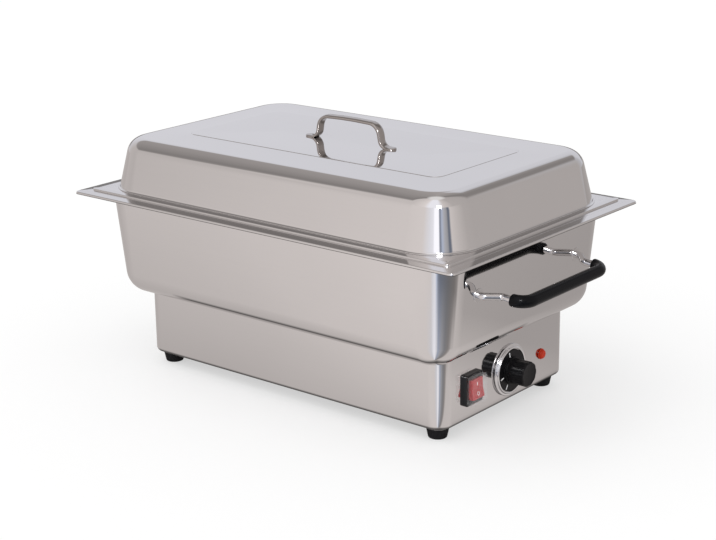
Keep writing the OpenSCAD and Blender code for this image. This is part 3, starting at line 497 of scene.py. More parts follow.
def streaked_metal(name, base, gloss):
    """Drawn metal such as tube and brass: streaks along X."""
    p = Paint(name)
    streak = p.noise(300.0, 3.0, 0.6, (0.08, 1, 1))
    tone = p.mixed(streak, toned(base, 0.7), base)
    return p.shade(Base_Color=tone, Metallic=1.0, Roughness=gloss + 0.15 * streak)


FINISH = {}


def make_finishes(colours):
    """Makes each named finish once."""
    steel = list(colours.steel)
    black = list(colours.black)
    # Painted shade: the frame's lip is painted dark along its lowest millimetre, and the base along its top
    # edge where the tub sits on it
    lip_painted_shade = (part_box("top_frame")[0].z + MM, -1)
    base_painted_shade = ((TUB_FLOOR - 1.3) * MM, 1)
    FINISH.update(
        lid=polished_steel("lid_steel", steel, 0.02, (0.02, 1, 1)),
        frame=polished_steel("frame_steel", steel, 0.04, (0.03, 1, 1), 0.02, lip_painted_shade),
        tub=polished_steel("tub_steel", steel, 0.03, (0.02, 1, 1), 0.03),
        base=polished_steel("base_steel", steel, 0.035, (0.02, 1, 1), 0.03, base_painted_shade),
        pan=polished_steel("pan_steel", steel, 0.16, (0.05, 1, 1), 0.08),
        bar=turned_steel("bar_steel", steel, 0.06),
        strap=turned_steel("strap_steel", [0.47, 0.44, 0.425], 0.05),
        chrome=turned_steel("bezel_chrome", [0.9, 0.9, 0.91], 0.03),
        fastener=turned_steel("fastener_steel", [0.6, 0.6, 0.59], 0.22),
        grip=moulded("grip_plastic", black, 0.1, 900.0, 0.015, 0.1),
        rubber=moulded("foot_rubber", list(colours.rubber), 0.42, 1200.0, 0.1, 0.22),
        black=moulded("switch_plastic", black, 0.22, 1500.0, 0.04, 0.5),
        knob=moulded("knob_plastic", black, 0.26, 1500.0, 0.04, 0.18),
        red=moulded("rocker_plastic", list(colours.red), 0.16, 1500.0, 0.03, 0.3),
        cream=moulded("cream_plastic", [0.62, 0.56, 0.42], 0.4),
        sleeve=moulded("wire_sleeve", [0.5, 0.47, 0.4], 0.5),
        white=moulded("mark_paint", list(colours.white), 0.45, 1500.0, 0.02, 0.3),
        clear=clear_plastic("clear_cover"),
        lens=glowing_lens("lamp_lens", list(colours.orange)),
        heater=streaked_metal("heater_tube", [0.34, 0.31, 0.29], 0.35),
        brass=streaked_metal("shaft_brass", [0.72, 0.53, 0.26], 0.22),
        copper=streaked_metal("copper_tube", [0.72, 0.38, 0.24], 0.25),
    )


# The lid


def lid_rows(s):
    """Lid section: from the panel's underside over the wall's inside, the rim and the outside to its top.
    The panel stands a fine step above the strip round it, which falls outwards to the crown."""
    t, ledge = s.sheet / MM, s.panel_step / MM
    axis = ((s.half_length - s.corner) / MM, (s.half_width - s.corner) / MM)
    lean, tilt = math.tan(s.draft), math.degrees(s.draft)
    wall = (s.corner - s.rim) / MM
    outer = s.top_round / MM
    rise = LID_TOP - outer + outer * math.sin(s.draft) - LID_FOOT
    flat = wall - rise * lean - outer * math.cos(s.draft)
    inside = wall - t / math.cos(s.draft)
    panel = (s.panel_half_length / MM, s.panel_half_width / MM, s.panel_corner / MM)
    strip_width, strip_fall, spare, heel, foot = 24, 1.2, 0.02, 0.2, 1.6
    crown, brow = LID_TOP - strip_fall, LID_TOP - ledge - spare
    reach = s.panel_slope / MM / 2
    k = np.linspace(-1, 1, 15)
    step = np.stack([k * reach, ledge * (0.5 - 0.75 * k + 0.25 * k ** 3)], -1)
    floor = []
    for part in np.linspace(0.06, 0.99, 14):
        inset = part * panel[1]
        inner = (panel[0] - inset, panel[1] - inset, panel[2] * (1 - part))
        floor.append(grown(inner, [(0, brow + ledge)]))
    under = [ring - [0, 0, 0, t] for ring in floor[::-1]]
    strip = grown(panel, [(strip_width, crown)])
    return rows(
        *under,
        grown(panel, step + [0, brow - t]),
        strip - [0, 0, 0, t],
        around(axis, arc((flat, crown - outer), outer - t, 90, tilt, 14)),
        around(axis, [(inside, LID_FOOT), (wall - heel, LID_FOOT)]),
        around(axis, arc((wall + s.rim / MM - t / 2, LID_FOOT + t / 2), t / 2, -90, 90, 6)),
        around(axis, arc((wall + foot - lean * t, LID_FOOT + t + foot), foot, 270, 180 - tilt, 6)),
        around(axis, arc((flat, crown - outer), outer, tilt, 90, 14)),
        strip,
        grown(panel, step[::-1] + [0, brow]),
        *floor,
    )


def strap_grid(s, low):
    """Lid handle: a half-round section carried over two feet, two legs and an arched bar."""
    t, w = s.strap_thickness / MM, s.strap_width / MM
    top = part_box("lid_handle")[1].z / MM - t / 2
    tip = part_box("lid_handle")[1].x / MM
    foot = low + t / 2
    knee, shoulder, sag, arch = tip - 20, tip - 24.5, 1.2, 0.35
    bend, fold, crown, spacing = s.strap_bend / MM, s.strap_knee / MM, 60, 0.8
    half = [(-tip, foot), (-knee, foot), (-shoulder, top - sag)]
    corners = half + [(0, top + arch)] + [(-x, z) for x, z in half[::-1]]
    line, run = evened(bent_line(corners, [fold, bend, crown, bend, fold], 10), spacing)
    line[:, 1] = np.minimum(line[:, 1], top)
    turn = np.linspace(0, TURN, 40, endpoint=False)
    side = np.sign(np.cos(turn)) * np.abs(np.cos(turn)) ** 0.75
    height = np.abs(np.sin(turn))
    up = np.where(np.sin(turn) > 0, height ** 0.7, -height ** 0.35)
    flat_end, fade, thin, flare, blunt = 6, 16, 0.65, 0.12, 0.02
    from_tip = np.minimum(run, run[-1] - run)
    full = np.clip((from_tip - flat_end) / fade, 0, 1)
    thick = thin + (1 - thin) * full * full * (3 - 2 * full)
    end = np.clip(from_tip / (w / 2), 0, 1)
    wide = np.sqrt(np.maximum(1 - (1 - end) ** 2, blunt)) * (1 + flare * (1 - full))
    across = -t / 2 + thick[:, None] * t * (up + 1) / 2
    grid = swept(line, across, wide[:, None] * side * w / 2)
    return np.stack([grid[..., 0], -grid[..., 2], grid[..., 1]], -1)


class MakeLid(bpy.types.Operator):
    """Makes the lid with its dished panel and its strap handle"""
    bl_idname = "chafing.make_lid"
    bl_label = "Lid"

    def execute(self, context):
        s = context.scene.chafing_lid
        rings = rounded_rings(lid_rows(s))
        along = np.clip(1 - (rings[..., 0] * MM / s.panel_half_length) ** 2, 0, 1)
        across = np.clip(1 - (rings[..., 1] * MM / s.panel_half_width) ** 2, 0, 1)
        rings[..., 2] -= s.panel_drop / MM * along * across
        make_piece("lid", [skin(rings)], "lid", "lid", "lid_shell")
        strap = strap_grid(s, LID_TOP - s.panel_drop / MM)
        make_piece("lid_strap", [skin(strap)], "strap", "lid", "lid_handle")
        return {"FINISHED"}


# The food pan, the top frame and the water pan


def pan_rows(half, corner, top, floor, edge, sheet, draft, rim):
    """Open pan: from its floor over the inner wall, the rim and the outer wall to the floor's underside."""
    axis = (half[0] - corner, half[1] - corner)
    tilt = math.degrees(draft)
    start = corner - (top - floor - edge + edge * math.sin(draft)) * math.tan(draft) - edge * math.cos(draft)
    thin = sheet / math.cos(draft)
    inner_top = corner - thin
    fillet = 2.5
    return rows(
        around(axis, arc((start, floor + edge), edge - sheet, -90, -tilt, 14)),
        around(axis, arc((inner_top + fillet, top - fillet), fillet, 180 - tilt, 90, 6)),
        rim,
        around(axis, [(corner + fillet, top - sheet)]),
        around(axis, arc((corner + fillet, top - sheet - fillet + thin), fillet - thin, 90, 180 - tilt, 6)),
        around(axis, arc((start, floor + edge), edge, -tilt, -90, 14)),
    )


def edge_rows(box, top, sheet):
    """Half-round edge of a flat rim."""
    return grown(box, arc((-sheet / 2, top - sheet / 2), sheet / 2, 90, -90, 6))


class MakeFoodPan(bpy.types.Operator):
    """Makes the lift-out food pan"""
    bl_idname = "chafing.make_food_pan"
    bl_label = "Food pan"

    def execute(self, context):
        s = context.scene.chafing_pans
        low, high = (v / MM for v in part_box("food_pan"))
        sheet, rim_corner = s.food_sheet / MM, 51.5
        rim = edge_rows((high.x, high.y, rim_corner), high.z, sheet)
        half = (s.food_half_length / MM, s.food_half_width / MM)
        corner, edge = s.food_corner / MM, s.food_round / MM
        table = pan_rows(half, corner, high.z, low.z, edge, sheet, s.food_draft, rim)
        make_piece("inset_pan", [skin(rounded_rings(table))], "pan", "food_pan", "food_pan")
        return {"FINISHED"}


class MakeTopFrame(bpy.types.Operator):
    """Makes the pressed frame round the water pan's mouth"""
    bl_idname = "chafing.make_top_frame"
    bl_label = "Top frame"

    def execute(self, context):
        low, high = (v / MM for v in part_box("top_frame"))
        sheet, bend_sheet, step = 1.0, 0.8, 3.0
        land_top, border_top = high.z, high.z - step
        opening = (256, 153.5, 63)
        land = (283, 179.5, 7)
        border = (299.4, 193.4, 6.9)
        lip = (high.x, high.y, 7.5)
        edge, fillet, bend, slope = 0.7, 0.5, 1.0, 6.5
        land_run, border_run, ease, ease_drop, tuck = 7.0, 12.5, 0.3, 0.03, 0.4
        fall = math.tan(math.radians(slope))
        land_edge = land_top - land_run * fall
        border_edge = border_top - border_run * fall
        # The lip's straight run touches the bend above it and the round of its foot
        gap = np.array([lip[0] - sheet / 2 - border[0] + bend, low.z + sheet / 2 - border_edge + bend])
        lean = math.degrees(math.atan2(gap[1], gap[0]) + math.acos((bend - sheet / 2) / np.linalg.norm(gap)))
        turn_down = (-bend, border_edge - bend)
        table = rows(
            grown(opening, arc((sheet / 2, land_top - sheet / 2), sheet / 2, 270, 90, 6)),
            grown(land, [(-land_run - ease, land_top), (-land_run, land_top - ease_drop)]),
            grown(land, arc((-edge, land_edge - edge), edge, 90 - slope, 0, 6)),
            grown(land, arc((fillet, border_top + fillet), fillet, 180, 270 - slope, 4)),
            grown(border, arc(turn_down, bend, 90 - slope, lean, 6)),
            grown(lip, arc((-sheet / 2, low.z + sheet / 2), sheet / 2, lean, lean - 180, 6)),
            grown(border, arc(turn_down, bend - bend_sheet, lean, 90 - slope, 6)),
            grown(land, [(-sheet, border_top - sheet), (-sheet, land_edge - sheet - tuck)]),
            grown(land, [(-land_run, land_top - sheet)]),
        )
        frame_skin = skin(rounded_rings(table), ring=True)
        make_piece("rim_frame", [frame_skin], "frame", "housing", "top_frame")
        return {"FINISHED"}


class MakeWaterPan(bpy.types.Operator):
    """Makes the deep water pan"""
    bl_idname = "chafing.make_water_pan"
    bl_label = "Water pan"

    def execute(self, context):
        s = context.scene.chafing_pans
        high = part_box("water_pan")[1] / MM
        sheet, rim_corner = s.tub_sheet / MM, 7
        rim = edge_rows((high.x, high.y, rim_corner), high.z, sheet)
        half = (s.tub_half_length / MM, s.tub_half_width / MM)
        corner, edge = s.tub_corner / MM, s.tub_round / MM
        table = pan_rows(half, corner, high.z, TUB_FLOOR, edge, sheet, s.tub_draft, rim)
        make_piece("tub", [skin(rounded_rings(table))], "tub", "housing", "water_pan")
        return {"FINISHED"}


# The base, its feet and the side handles


class MakeBase(bpy.types.Operator):
    """Makes the base housing with its turned-in edges"""
    bl_idname = "chafing.make_base"
    bl_label = "Base"

    def execute(self, context):
        s = context.scene.chafing_base
        t, edge = s.sheet / MM, s.foot_edge / MM
        box = (s.half_length / MM, s.half_width / MM, s.corner / MM)
        flange, lip, top_edge = 17.0, 15.0, 1.4
        table = rows(
            grown(box, arc((-top_edge, TUB_FLOOR - top_edge), top_edge, 90, 0, 5)),
            grown(box, arc((-edge, BASE_FOOT + edge), edge, 0, -90, 8)),
            grown(box, [(-lip, BASE_FOOT), (-lip, BASE_FOOT + t)]),
            grown(box, arc((-edge, BASE_FOOT + edge), edge - t, -90, 0, 8)),
            grown(box, [(-t, TUB_FLOOR - t), (-flange, TUB_FLOOR - t), (-flange, TUB_FLOOR)]),
        )
        housing = skin(rounded_rings(table), ring=True)
        make_piece("base", [housing], "base", "housing", "base_housing")
        return {"FINISHED"}


class MakeFeet(bpy.types.Operator):
    """Makes the four tapered rubber feet"""
    bl_idname = "chafing.make_feet"
    bl_label = "Feet"

    def execute(self, context):
        tip, sink, pole, taper = 11.5, 4.5, 0.6, 10
        bevel, mouth, sole, brim = 0.3, 0.6, 1.6, 1.2
        for name in ("front_left_foot", "front_right_foot", "rear_left_foot", "rear_right_foot"):
            low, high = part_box(name)
            middle = (low + high) / 2 / MM
            top, wide = high.z / MM, (high.x - low.x) / 2 / MM
            line = rows(
                [(pole, top / 2), (sink - bevel, top / 2), (sink, top / 2 - bevel)],
                arc((sink + mouth, mouth), mouth, 180, 270, 4),
                arc((tip - sole, sole), sole, 270, 360 - taper, 6),
                arc((wide - brim, top - brim), brim, -taper, 90, 6),
                [(pole, top)],
            )
            grid = placed(spun_rings(line, 64), (middle.x, middle.y, 0))
            make_piece(name + "_rubber", [skin(grid)], "rubber", "housing", name)
        return {"FINISHED"}


def on_wall(grid, side, draft):
    """Moves points from a side handle's own plane (out, sideways, up) to the leaning end wall of one side."""
    wall_x, wall_z = 267.8, 182.0
    out, sideways, up = grid[..., 0], grid[..., 1], grid[..., 2]
    x = wall_x + out * math.cos(draft) + up * math.sin(draft)
    z = wall_z - out * math.sin(draft) + up * math.cos(draft)
    return np.stack([side * x, side * sideways, z], -1)


class MakeSideHandles(bpy.types.Operator):
    """Makes the two side handles: bent rod, black sleeve and washers"""
    bl_idname = "chafing.make_side_handles"
    bl_label = "Side handles"

    def execute(self, context):
        s = context.scene.chafing_base
        draft = context.scene.chafing_pans.tub_draft
        bolt, arm, reach = s.bolt_span / MM / 2, s.arm_span / MM / 2, s.reach / MM
        rod_radius, sleeve_radius = s.rod / MM / 2, s.sleeve / MM / 2
        seat, stub, kink, bare = 0.4, 6.5, 22.5, 34.5
        bend, kink_bend, end_round, fit, spacing = 17.0, 9.0, 2.6, 0.1, 1.2
        turn = np.linspace(0, TURN, 32, endpoint=False)
        half = [(seat, bolt), (stub, bolt), (kink, arm), (reach, arm)]
        corners = half + [(x, -y) for x, y in half[::-1]]
        rod_line = bent_line(corners, [kink_bend, kink_bend, bend, bend, kink_bend, kink_bend], 10)
        rod = swept(rod_line, rod_radius * np.cos(turn), rod_radius * np.sin(turn))
        hold = [(bare, arm), (reach, arm), (reach, -arm), (bare, -arm)]
        line, run = evened(bent_line(hold, [bend, bend], 14), spacing)
        from_end = np.clip(np.minimum(run, run[-1] - run) / end_round, 0, 1)
        swell = sleeve_radius - end_round * (1 - np.sqrt(1 - (1 - from_end) ** 2))
        core = rod_radius + fit + 0 * run
        tubes = [swept(line, r[:, None] * np.cos(turn), r[:, None] * np.sin(turn)) for r in (swell, core)]
        sleeve = np.concatenate([tubes[0], tubes[1][::-1]])
        washer, rim, hole, low_edge, top_edge = 1.5, 8.5, 3.2, 0.4, 0.6
        plate = rows(
            arc((rim - low_edge, low_edge), low_edge, -90, 0, 3),
            arc((rim - top_edge, washer - top_edge), top_edge, 0, 90, 4),
            [(hole + low_edge, washer), (hole, washer - low_edge), (hole, 0)],
        )
        discs = []
        for side, word in ((1, "right"), (-1, "left")):
            rod_skin = skin(on_wall(rod, side, draft))
            grip_skin = skin(on_wall(sleeve, side, draft), ring=True)
            make_piece(word + "_rod", [rod_skin], "bar", "housing", word + "_handle_rod")
            make_piece(word + "_sleeve", [grip_skin], "grip", "housing", word + "_handle_grip")
            for end in (-bolt, bolt):
                disc = placed(spun_rings(plate, 48), (0, end, 0), "x")
                discs.append(skin(on_wall(disc, side, draft), ring=True))
        make_piece("rod_washers", discs, "bar", "housing", "handle_washers")
        return {"FINISHED"}


# The controls


def mark_skin(outline, low, high):
    """A thin raised mark over a flat outline."""
    grid = np.stack([np.column_stack([outline, np.full(len(outline), h)]) for h in (low, high)])
    return skin(grid)


def rocker_skin(half_width):
    """Rocker: a shallow V of a front, rounded corners and a keel, carried across its width."""
    rise, tip, edge, dip, keel, ease = 7.5, 12.4, 1.0, 1.2, 5.0, 0.6
    front = [(rise - dip, 0.0), (rise, tip - edge - ease), (rise - edge, tip)]
    half = front + [(-edge, tip - edge), (-keel, 0.0)]
    outline = half + [(x, -z) for x, z in half[-2:0:-1]]
    bends = [3.0, 0.6, 0.8, 0.6] * 2
    line = bent_line([outline[-1], *outline, outline[0]], bends, 5)[1:-1]
    centre = line.mean(0)
    ends = [(0.95, 1.0), (0.985, 0.985), (1.0, 0.945)]
    grid = []
    for share, y in [(share, -y) for share, y in ends] + ends[::-1]:
        ring = centre + share * (line - centre)
        grid.append(np.column_stack([ring[:, 0], np.full(len(ring), y * half_width), ring[:, 1]]))
    return skin(np.array(grid))


def leaned(points, degrees):
    """Points turned about the rocker's pin, top inwards."""
    a = math.radians(degrees)
    x, y, z = (points[..., k] for k in range(3))
    return np.stack([x * math.cos(a) - z * math.sin(a), y, x * math.sin(a) + z * math.cos(a)], -1)


def make_switch_frame(rim, well, body):
    """The frame with its rounded rim, the well for the rocker, the body behind it and four tabs."""
    middle = (CONTROL_X, SWITCH_Y, CONTROL_Z)
    depth, rim_top, well_floor = 30, 5, -9.6
    chamfer, seat, foot, brim = 0.6, 0.1, 0.3, 1.1
    table = rows(
        grown(body, [(-chamfer, -depth), (0, chamfer - depth), (0, -seat)]),
        grown(rim, arc((-foot, foot), foot, -90, 0, 3)),
        grown(rim, arc((-brim, rim_top - brim), brim, 0, 90, 6)),
        grown(well, [(1.2, rim_top), (0.4, rim_top - 0.3), (0, rim_top - 0.8), (0, well_floor)]),
    )
    tab_back, tab_front, tab_round = np.array([9, 0.4, 3.15]), np.array([0.4, 0.4, 3.15]), 0.3
    tabs = []
    for y in (-1, 1):
        for z in (-1, 1):
            at = np.array(middle) + [-depth, y * body[0] / 2, z * body[1] / 2]
            tabs.append(box_skin(at - tab_back, at + tab_front, tab_round))
    shell = skin(placed(rounded_rings(table), middle, "x"))
    make_piece("switch_frame", [shell, *tabs], "black", "housing", "switch_body")


def make_rocker(well):
    """The rocker at one end of its throw, with an I bar above and an O ring below on its two slopes."""
    low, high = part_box("switch_rocker")
    lean, face, mark_up, sunk, raised = 8.0, 6.3, 6.0, 0.05, 0.15
    slope = math.degrees(math.atan2(1.2, 10.8))
    pin = np.array([CONTROL_X + 2.5, SWITCH_Y, CONTROL_Z])
    cheek, gap = 1.3, 0.4
    points, faces = rocker_skin(min((high.y - low.y) / 2 / MM - cheek, well[0] - gap))
    bar = rectangle((-0.55, -2.1), (0.55, 2.1))
    ring = spun_rings([(1.6, 0), (2.3, 0), (2.3, raised), (1.6, raised)], 40)
    marks = []
    for (mark_points, mark_faces), up in ((mark_skin(bar, 0, raised), 1), (skin(ring, ring=True), -1)):
        flat = placed(mark_points, (-sunk, 0, up * mark_up), "x")
        turned = leaned(flat, -up * slope) + [face, 0, 0]
        marks.append((leaned(turned, lean) + pin, mark_faces))
    skins = [(leaned(points, lean) + pin, faces), *marks]
    make_piece("red_rocker", skins, ["red", "white", "white"], "rocker", "switch_rocker")


def make_cover(rim):
    """The clear cover: a thin shell open towards the switch."""
    low, high = (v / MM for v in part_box("switch_cover"))
    height = high.x - low.x
    inset, wall, outer_round, inner_round = 1.5, 1.0, 1.2, 0.6
    cover = (rim[0] - inset, rim[1] - inset, 3.0)
    hollow = wall + inner_round
    table = rows(
        grown(cover, arc((-hollow, height - hollow), inner_round, 90, 0, 4)),
        grown(cover, [(-wall, 0), (0, 0)]),
        grown(cover, arc((-outer_round, height - outer_round), outer_round, 0, 90, 5)),
    )
    shell = skin(placed(rounded_rings(table), (low.x, SWITCH_Y, CONTROL_Z), "x"))
    make_piece("splash_cover", [shell], "clear", "housing", "switch_cover")


class MakeSwitch(bpy.types.Operator):
    """Makes the rocker switch with its frame, its rocker and its clear cover"""
    bl_idname = "chafing.make_switch"
    bl_label = "Switch"

    def execute(self, context):
        s = context.scene.chafing_controls
        rim = (s.switch_width / MM / 2, s.switch_height / MM / 2, 3.0)
        body = (rim[0] - 3, rim[1] - 3.5, 0.8)
        well = (body[0] - 2.2, body[1] - 2.2, 0.6)
        make_switch_frame(rim, well, body)
        make_rocker(well)
        make_cover(rim)
        return {"FINISHED"}


class MakeThermostat(bpy.types.Operator):
    """Makes the thermostat's bezel, its fluted knob and its dial with tick marks"""
    bl_idname = "chafing.make_thermostat"
    bl_label = "Thermostat"

    def execute(self, context):
        s = context.scene.chafing_controls
        middle = (CONTROL_X, DIAL_Y, CONTROL_Z)
        inset, gap, flat, lower = 0.5, 0.8, 3, 2.4
        rim, dial, knob = s.bezel / MM / 2 - inset, s.dial / MM / 2, s.knob / MM / 2
        inside, crown = dial + gap, rim - flat
        cap = (crown - inside) / 2
        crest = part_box("thermostat_bezel")[1].x / MM - CONTROL_X - lower
        line = rows(
            [(inside, 0), (rim - 2.6, 0), (rim - 2.4, 0.2), (rim - 0.3, 1.5)],
            arc((rim - 0.9, 2.2), 0.9, -20, 90, 6),
            arc((crown + 0.5, 3.6), 0.5, 270, 180, 4),
            arc((inside + cap, crest - cap), cap, 0, 180, 10),
        )
        bezel = skin(placed(spun_rings(line), middle, "x"), ring=True)
        make_piece("dial_bezel", [bezel], "chrome", "housing", "thermostat_bezel")

        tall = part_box("thermostat_knob")[1].x / MM - CONTROL_X
        low, face = crest - 3.2, crest - 0.5
        skirt, flute_depth, flute_start, flute_fade = knob + 1.5, 0.6, 4, 1.5

        def flute(height, turn):
            """Round hollows: a raised cosine to the fourth power at each flute, fading in above the skirt."""
            fade = np.clip((height - face - flute_start) / flute_fade, 0, 1)
            return -flute_depth * fade * (0.5 - 0.5 * np.cos(s.flutes * turn)) ** 2

        line = rows(
            [(3.1, low), (dial - 0.3, low), (dial, low + 0.3)],
            arc((dial - 0.5, face - 0.5), 0.5, 0, 90, 3),
            arc((skirt + 0.4, face + 0.4), 0.4, 270, 180, 3),
            arc((skirt - 0.5, face + 2.0), 0.5, 0, 90, 3),
            arc((knob + 0.3, face + 2.8), 0.3, 270, 180, 3),
            [(knob, h) for h in np.linspace(face + 3.9, tall - 2.2, 8)],
            arc((knob - 1.5, tall - 1.5), 1.5, 0, 90, 6),
            [(knob - 3.2, tall), (knob - 3.8, tall - 0.35), (2.0, tall - 0.45)],
        )
        tick_from, tick_to, tick_half, sunk, raised = 18.4, 24.6, 0.8, 0.05, 0.08
        bar = rectangle((tick_from, -tick_half), (tick_to, tick_half))
        ticks = []
        for clock in (11.5, 8.5, 7.0):
            a = math.radians(90 - 30 * clock)
            turned = bar @ np.array([[math.cos(a), math.sin(a)], [-math.sin(a), math.cos(a)]])
            points, faces = mark_skin(turned, face - sunk, face + raised)
            ticks.append((placed(points, middle, "x"), faces))
        body = skin(placed(spun_rings(line, 160, flute), middle, "x"))
        finishes = ["knob"] + ["white"] * len(ticks)
        make_piece("dial_knob", [body, *ticks], finishes, "knob", "thermostat_knob")
        return {"FINISHED"}


class MakeLamp(bpy.types.Operator):
    """Makes the pilot lamp: a black seat and a round lens with a flange"""
    bl_idname = "chafing.make_lamp"
    bl_label = "Pilot lamp"

    def execute(self, context):
        s = context.scene.chafing_controls
        r = s.lamp / MM / 2
        middle = (CONTROL_X, LAMP_Y, CONTROL_Z)
        pole, depth, barrel, seat = 1.0, 25, r - 1.5, r - 0.7
        line = rows(
            [(pole, -depth), (barrel - 0.4, -depth), (barrel, 0.4 - depth), (barrel, 0)],
            [(seat - 0.2, 0), (seat, 0.2), (seat, 0.5), (pole, 0.5)],
        )
        collar = skin(placed(spun_rings(line, 64), middle, "x"))
        make_piece("lamp_collar", [collar], "black", "housing", "lamp_body")
        lens, lens_round, lower = r - 1.0, 2.4, 2.2
        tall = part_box("lamp_lens")[1].x / MM - CONTROL_X - lower
        line = rows(
            [(pole, 0.45), (r - 0.2, 0.45), (r, 0.7), (r, 1.3), (r - 0.3, 1.6), (lens, 1.8)],
            arc((lens - lens_round, tall - lens_round), lens_round, 0, 90, 8),
        )
        glass = skin(placed(spun_rings(line, 48), middle, "x"))
        make_piece("lamp_glass", [glass], "lens", "housing", "lamp_lens")
        return {"FINISHED"}


class MakeGland(bpy.types.Operator):
    """Makes the cord gland on the far end: a ribbed cap on a threaded body"""
    bl_idname = "chafing.make_gland"
    bl_label = "Cord gland"

    def execute(self, context):
        low, high = (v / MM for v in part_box("cord_gland"))
        middle = (-CONTROL_X, 0, GLAND_Z)
        tip = -CONTROL_X - low.x
        thread = -CONTROL_X - high.x
        bore, barrel, cap, rib_low, rib_high = 4.0, 8.0, 10, 2.2, 8.2
        rib_depth, rib_count, cap_edge, tip_round = 0.6, 18, 0.8, 1.8
        cap_top = rib_high + cap_edge

        def ribs(height, turn):
            """Grip ribs: a raised cosine on the cap's side only."""
            on_cap = np.clip((height - rib_low) / 0.6, 0, 1) * np.clip((cap_top - height) / 0.8, 0, 1)
            return -rib_depth * on_cap * (0.5 - 0.5 * np.cos(rib_count * turn)) ** 2

        line = rows(
            [(bore, thread), (barrel - 0.4, thread), (barrel, thread + 0.5), (barrel, 0)],
            [(cap - 0.3, 0), (cap, 0.3), (cap, rib_low - 0.4)],
            [(cap, h) for h in np.linspace(rib_low, rib_high, 7)],
            arc((cap - cap_edge, rib_high), cap_edge, 0, 90, 3),
            [(barrel, cap_top + 0.3)],
            arc((barrel - tip_round, tip - tip_round), tip_round, 0, 90, 6),
            [(bore + 0.6, tip), (bore, tip - 0.6)],
        )
        gland = skin(placed(spun_rings(line, 144, ribs), middle, "-x"), ring=True)
        make_piece("gland_cap", [gland], "black", "housing", "cord_gland")
        return {"FINISHED"}


class DressFrame(bpy.types.Operator):
    """Gives each frame node that still shows its finish"""
    bl_idname = "chafing.dress_frame"
    bl_label = "Inner pieces"

    wanted = {
        "pan": ("bottom_plate", "element_clamps"),
        "fastener": ("bottom_plate_screws", "foot_screws", "foot_nuts", "handle_nuts", "pan_studs",
                     "pan_nuts", "thermostat_screws", "lamp_nut", "terminal_block_screws"),
        "cream": ("thermostat_body", "terminal_block"),
        "black": ("overheat_cutout", "gland_nut"),
        "brass": ("thermostat_shaft",),
        "copper": ("thermostat_bulb",),
        "heater": ("heating_element",),
        "sleeve": ("wiring",),
    }

    def execute(self, context):
        for finish, names in self.wanted.items():
            for name in names:
                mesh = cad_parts[name].data
                mesh.materials.clear()
                mesh.materials.append(FINISH[finish])
        return {"FINISHED"}


# The studio

CAMERA_AT = (1.31686, -1.58689, 0.76873)
CAMERA_YAW = math.radians(39.07)
CAMERA_PITCH = math.radians(16.99)
CAMERA_ROLL = math.radians(-0.62)
PICTURE = (716, 540)
FOCAL_PIXELS = 1693.26
PICTURE_CENTRE = (369.67, 268.66)
SENSOR = 36.0


def outward(turn, rise):
    """Direction out from the dish: round from the front towards the control end, and upwards."""
    return Vector((math.sin(turn) * math.cos(rise), -math.cos(turn) * math.cos(rise), math.sin(rise)))


def make_camera():
    """Camera at the photograph's place and angle, with a small shift for its framing."""
    back = outward(CAMERA_YAW, CAMERA_PITCH)
    right = Vector((math.cos(CAMERA_YAW), math.sin(CAMERA_YAW), 0))
    up = back.cross(right)
    right_rolled = right * math.cos(CAMERA_ROLL) + up * math.sin(CAMERA_ROLL)
    up_rolled = up * math.cos(CAMERA_ROLL) - right * math.sin(CAMERA_ROLL)
    data = bpy.data.cameras.new("camera")
    data.sensor_fit = "HORIZONTAL"
    data.sensor_width = SENSOR
    data.lens = FOCAL_PIXELS * SENSOR / PICTURE[0]
    data.shift_x = (PICTURE[0] / 2 - PICTURE_CENTRE[0]) / PICTURE[0]
    data.shift_y = (PICTURE_CENTRE[1] - PICTURE[1] / 2) / PICTURE[0]
    camera = bpy.data.objects.new("camera", data)
    axes = Matrix((right_rolled, up_rolled, back)).transposed().to_4x4()
    camera.matrix_world = Matrix.Translation(CAMERA_AT) @ axes
    bpy.context.scene.collection.objects.link(camera)
    bpy.context.scene.camera = camera


# What the polished steel mirrors, in stops of (degrees, level, tint) round the dish's front corner, from the
# front towards the control end: near eye level, above that, higher up, the floor further off and close by
WARM = (1.0, 0.93, 0.905)
COOL = (0.97, 0.97, 1.03)
BLUE = (0.9, 1.0, 1.25)
HORIZON = (
    (-180, 0.74, COOL), (-120, 0.8, COOL), (-85, 0.62, WARM), (-60, 0.59, WARM), (-48, 0.64, WARM),
    (-42, 0.73, WARM), (-36, 0.8, WARM), (5, 0.84, WARM), (22, 0.95, COOL), (30, 1.05, COOL),
    (33, 1.35, COOL), (43, 1.35, COOL), (45.5, 0.25, BLUE), (48, 0.35, BLUE), (51, 0.62, BLUE),
    (57, 0.55, COOL), (64, 0.42, COOL), (67, 0.2, BLUE), (71, 0.22, BLUE), (74, 0.76, WARM),
    (90, 0.66, WARM), (115, 0.54, WARM), (150, 0.51, WARM), (172, 0.6, COOL), (180, 0.74, COOL),
)
SHOULDER = (
    (-180, 0.33, WARM), (-175, 0.36, WARM), (-170, 0.66, COOL), (-162, 0.78, COOL), (-152, 0.78, COOL),
    (-146, 0.46, WARM), (-139, 0.43, WARM), (-122, 0.4, WARM), (-100, 0.38, WARM), (-75, 0.33, WARM),
    (-62, 0.28, WARM), (-56.5, 0.32, WARM), (-52, 0.7, WARM), (-40, 0.72, WARM), (0, 0.9, WARM),
    (15, 1.1, COOL), (45, 1.1, COOL), (60, 0.75, WARM), (90, 0.56, WARM), (148, 0.52, WARM),
    (156, 0.42, WARM), (162, 0.29, WARM), (174, 0.29, WARM), (180, 0.33, WARM),
)
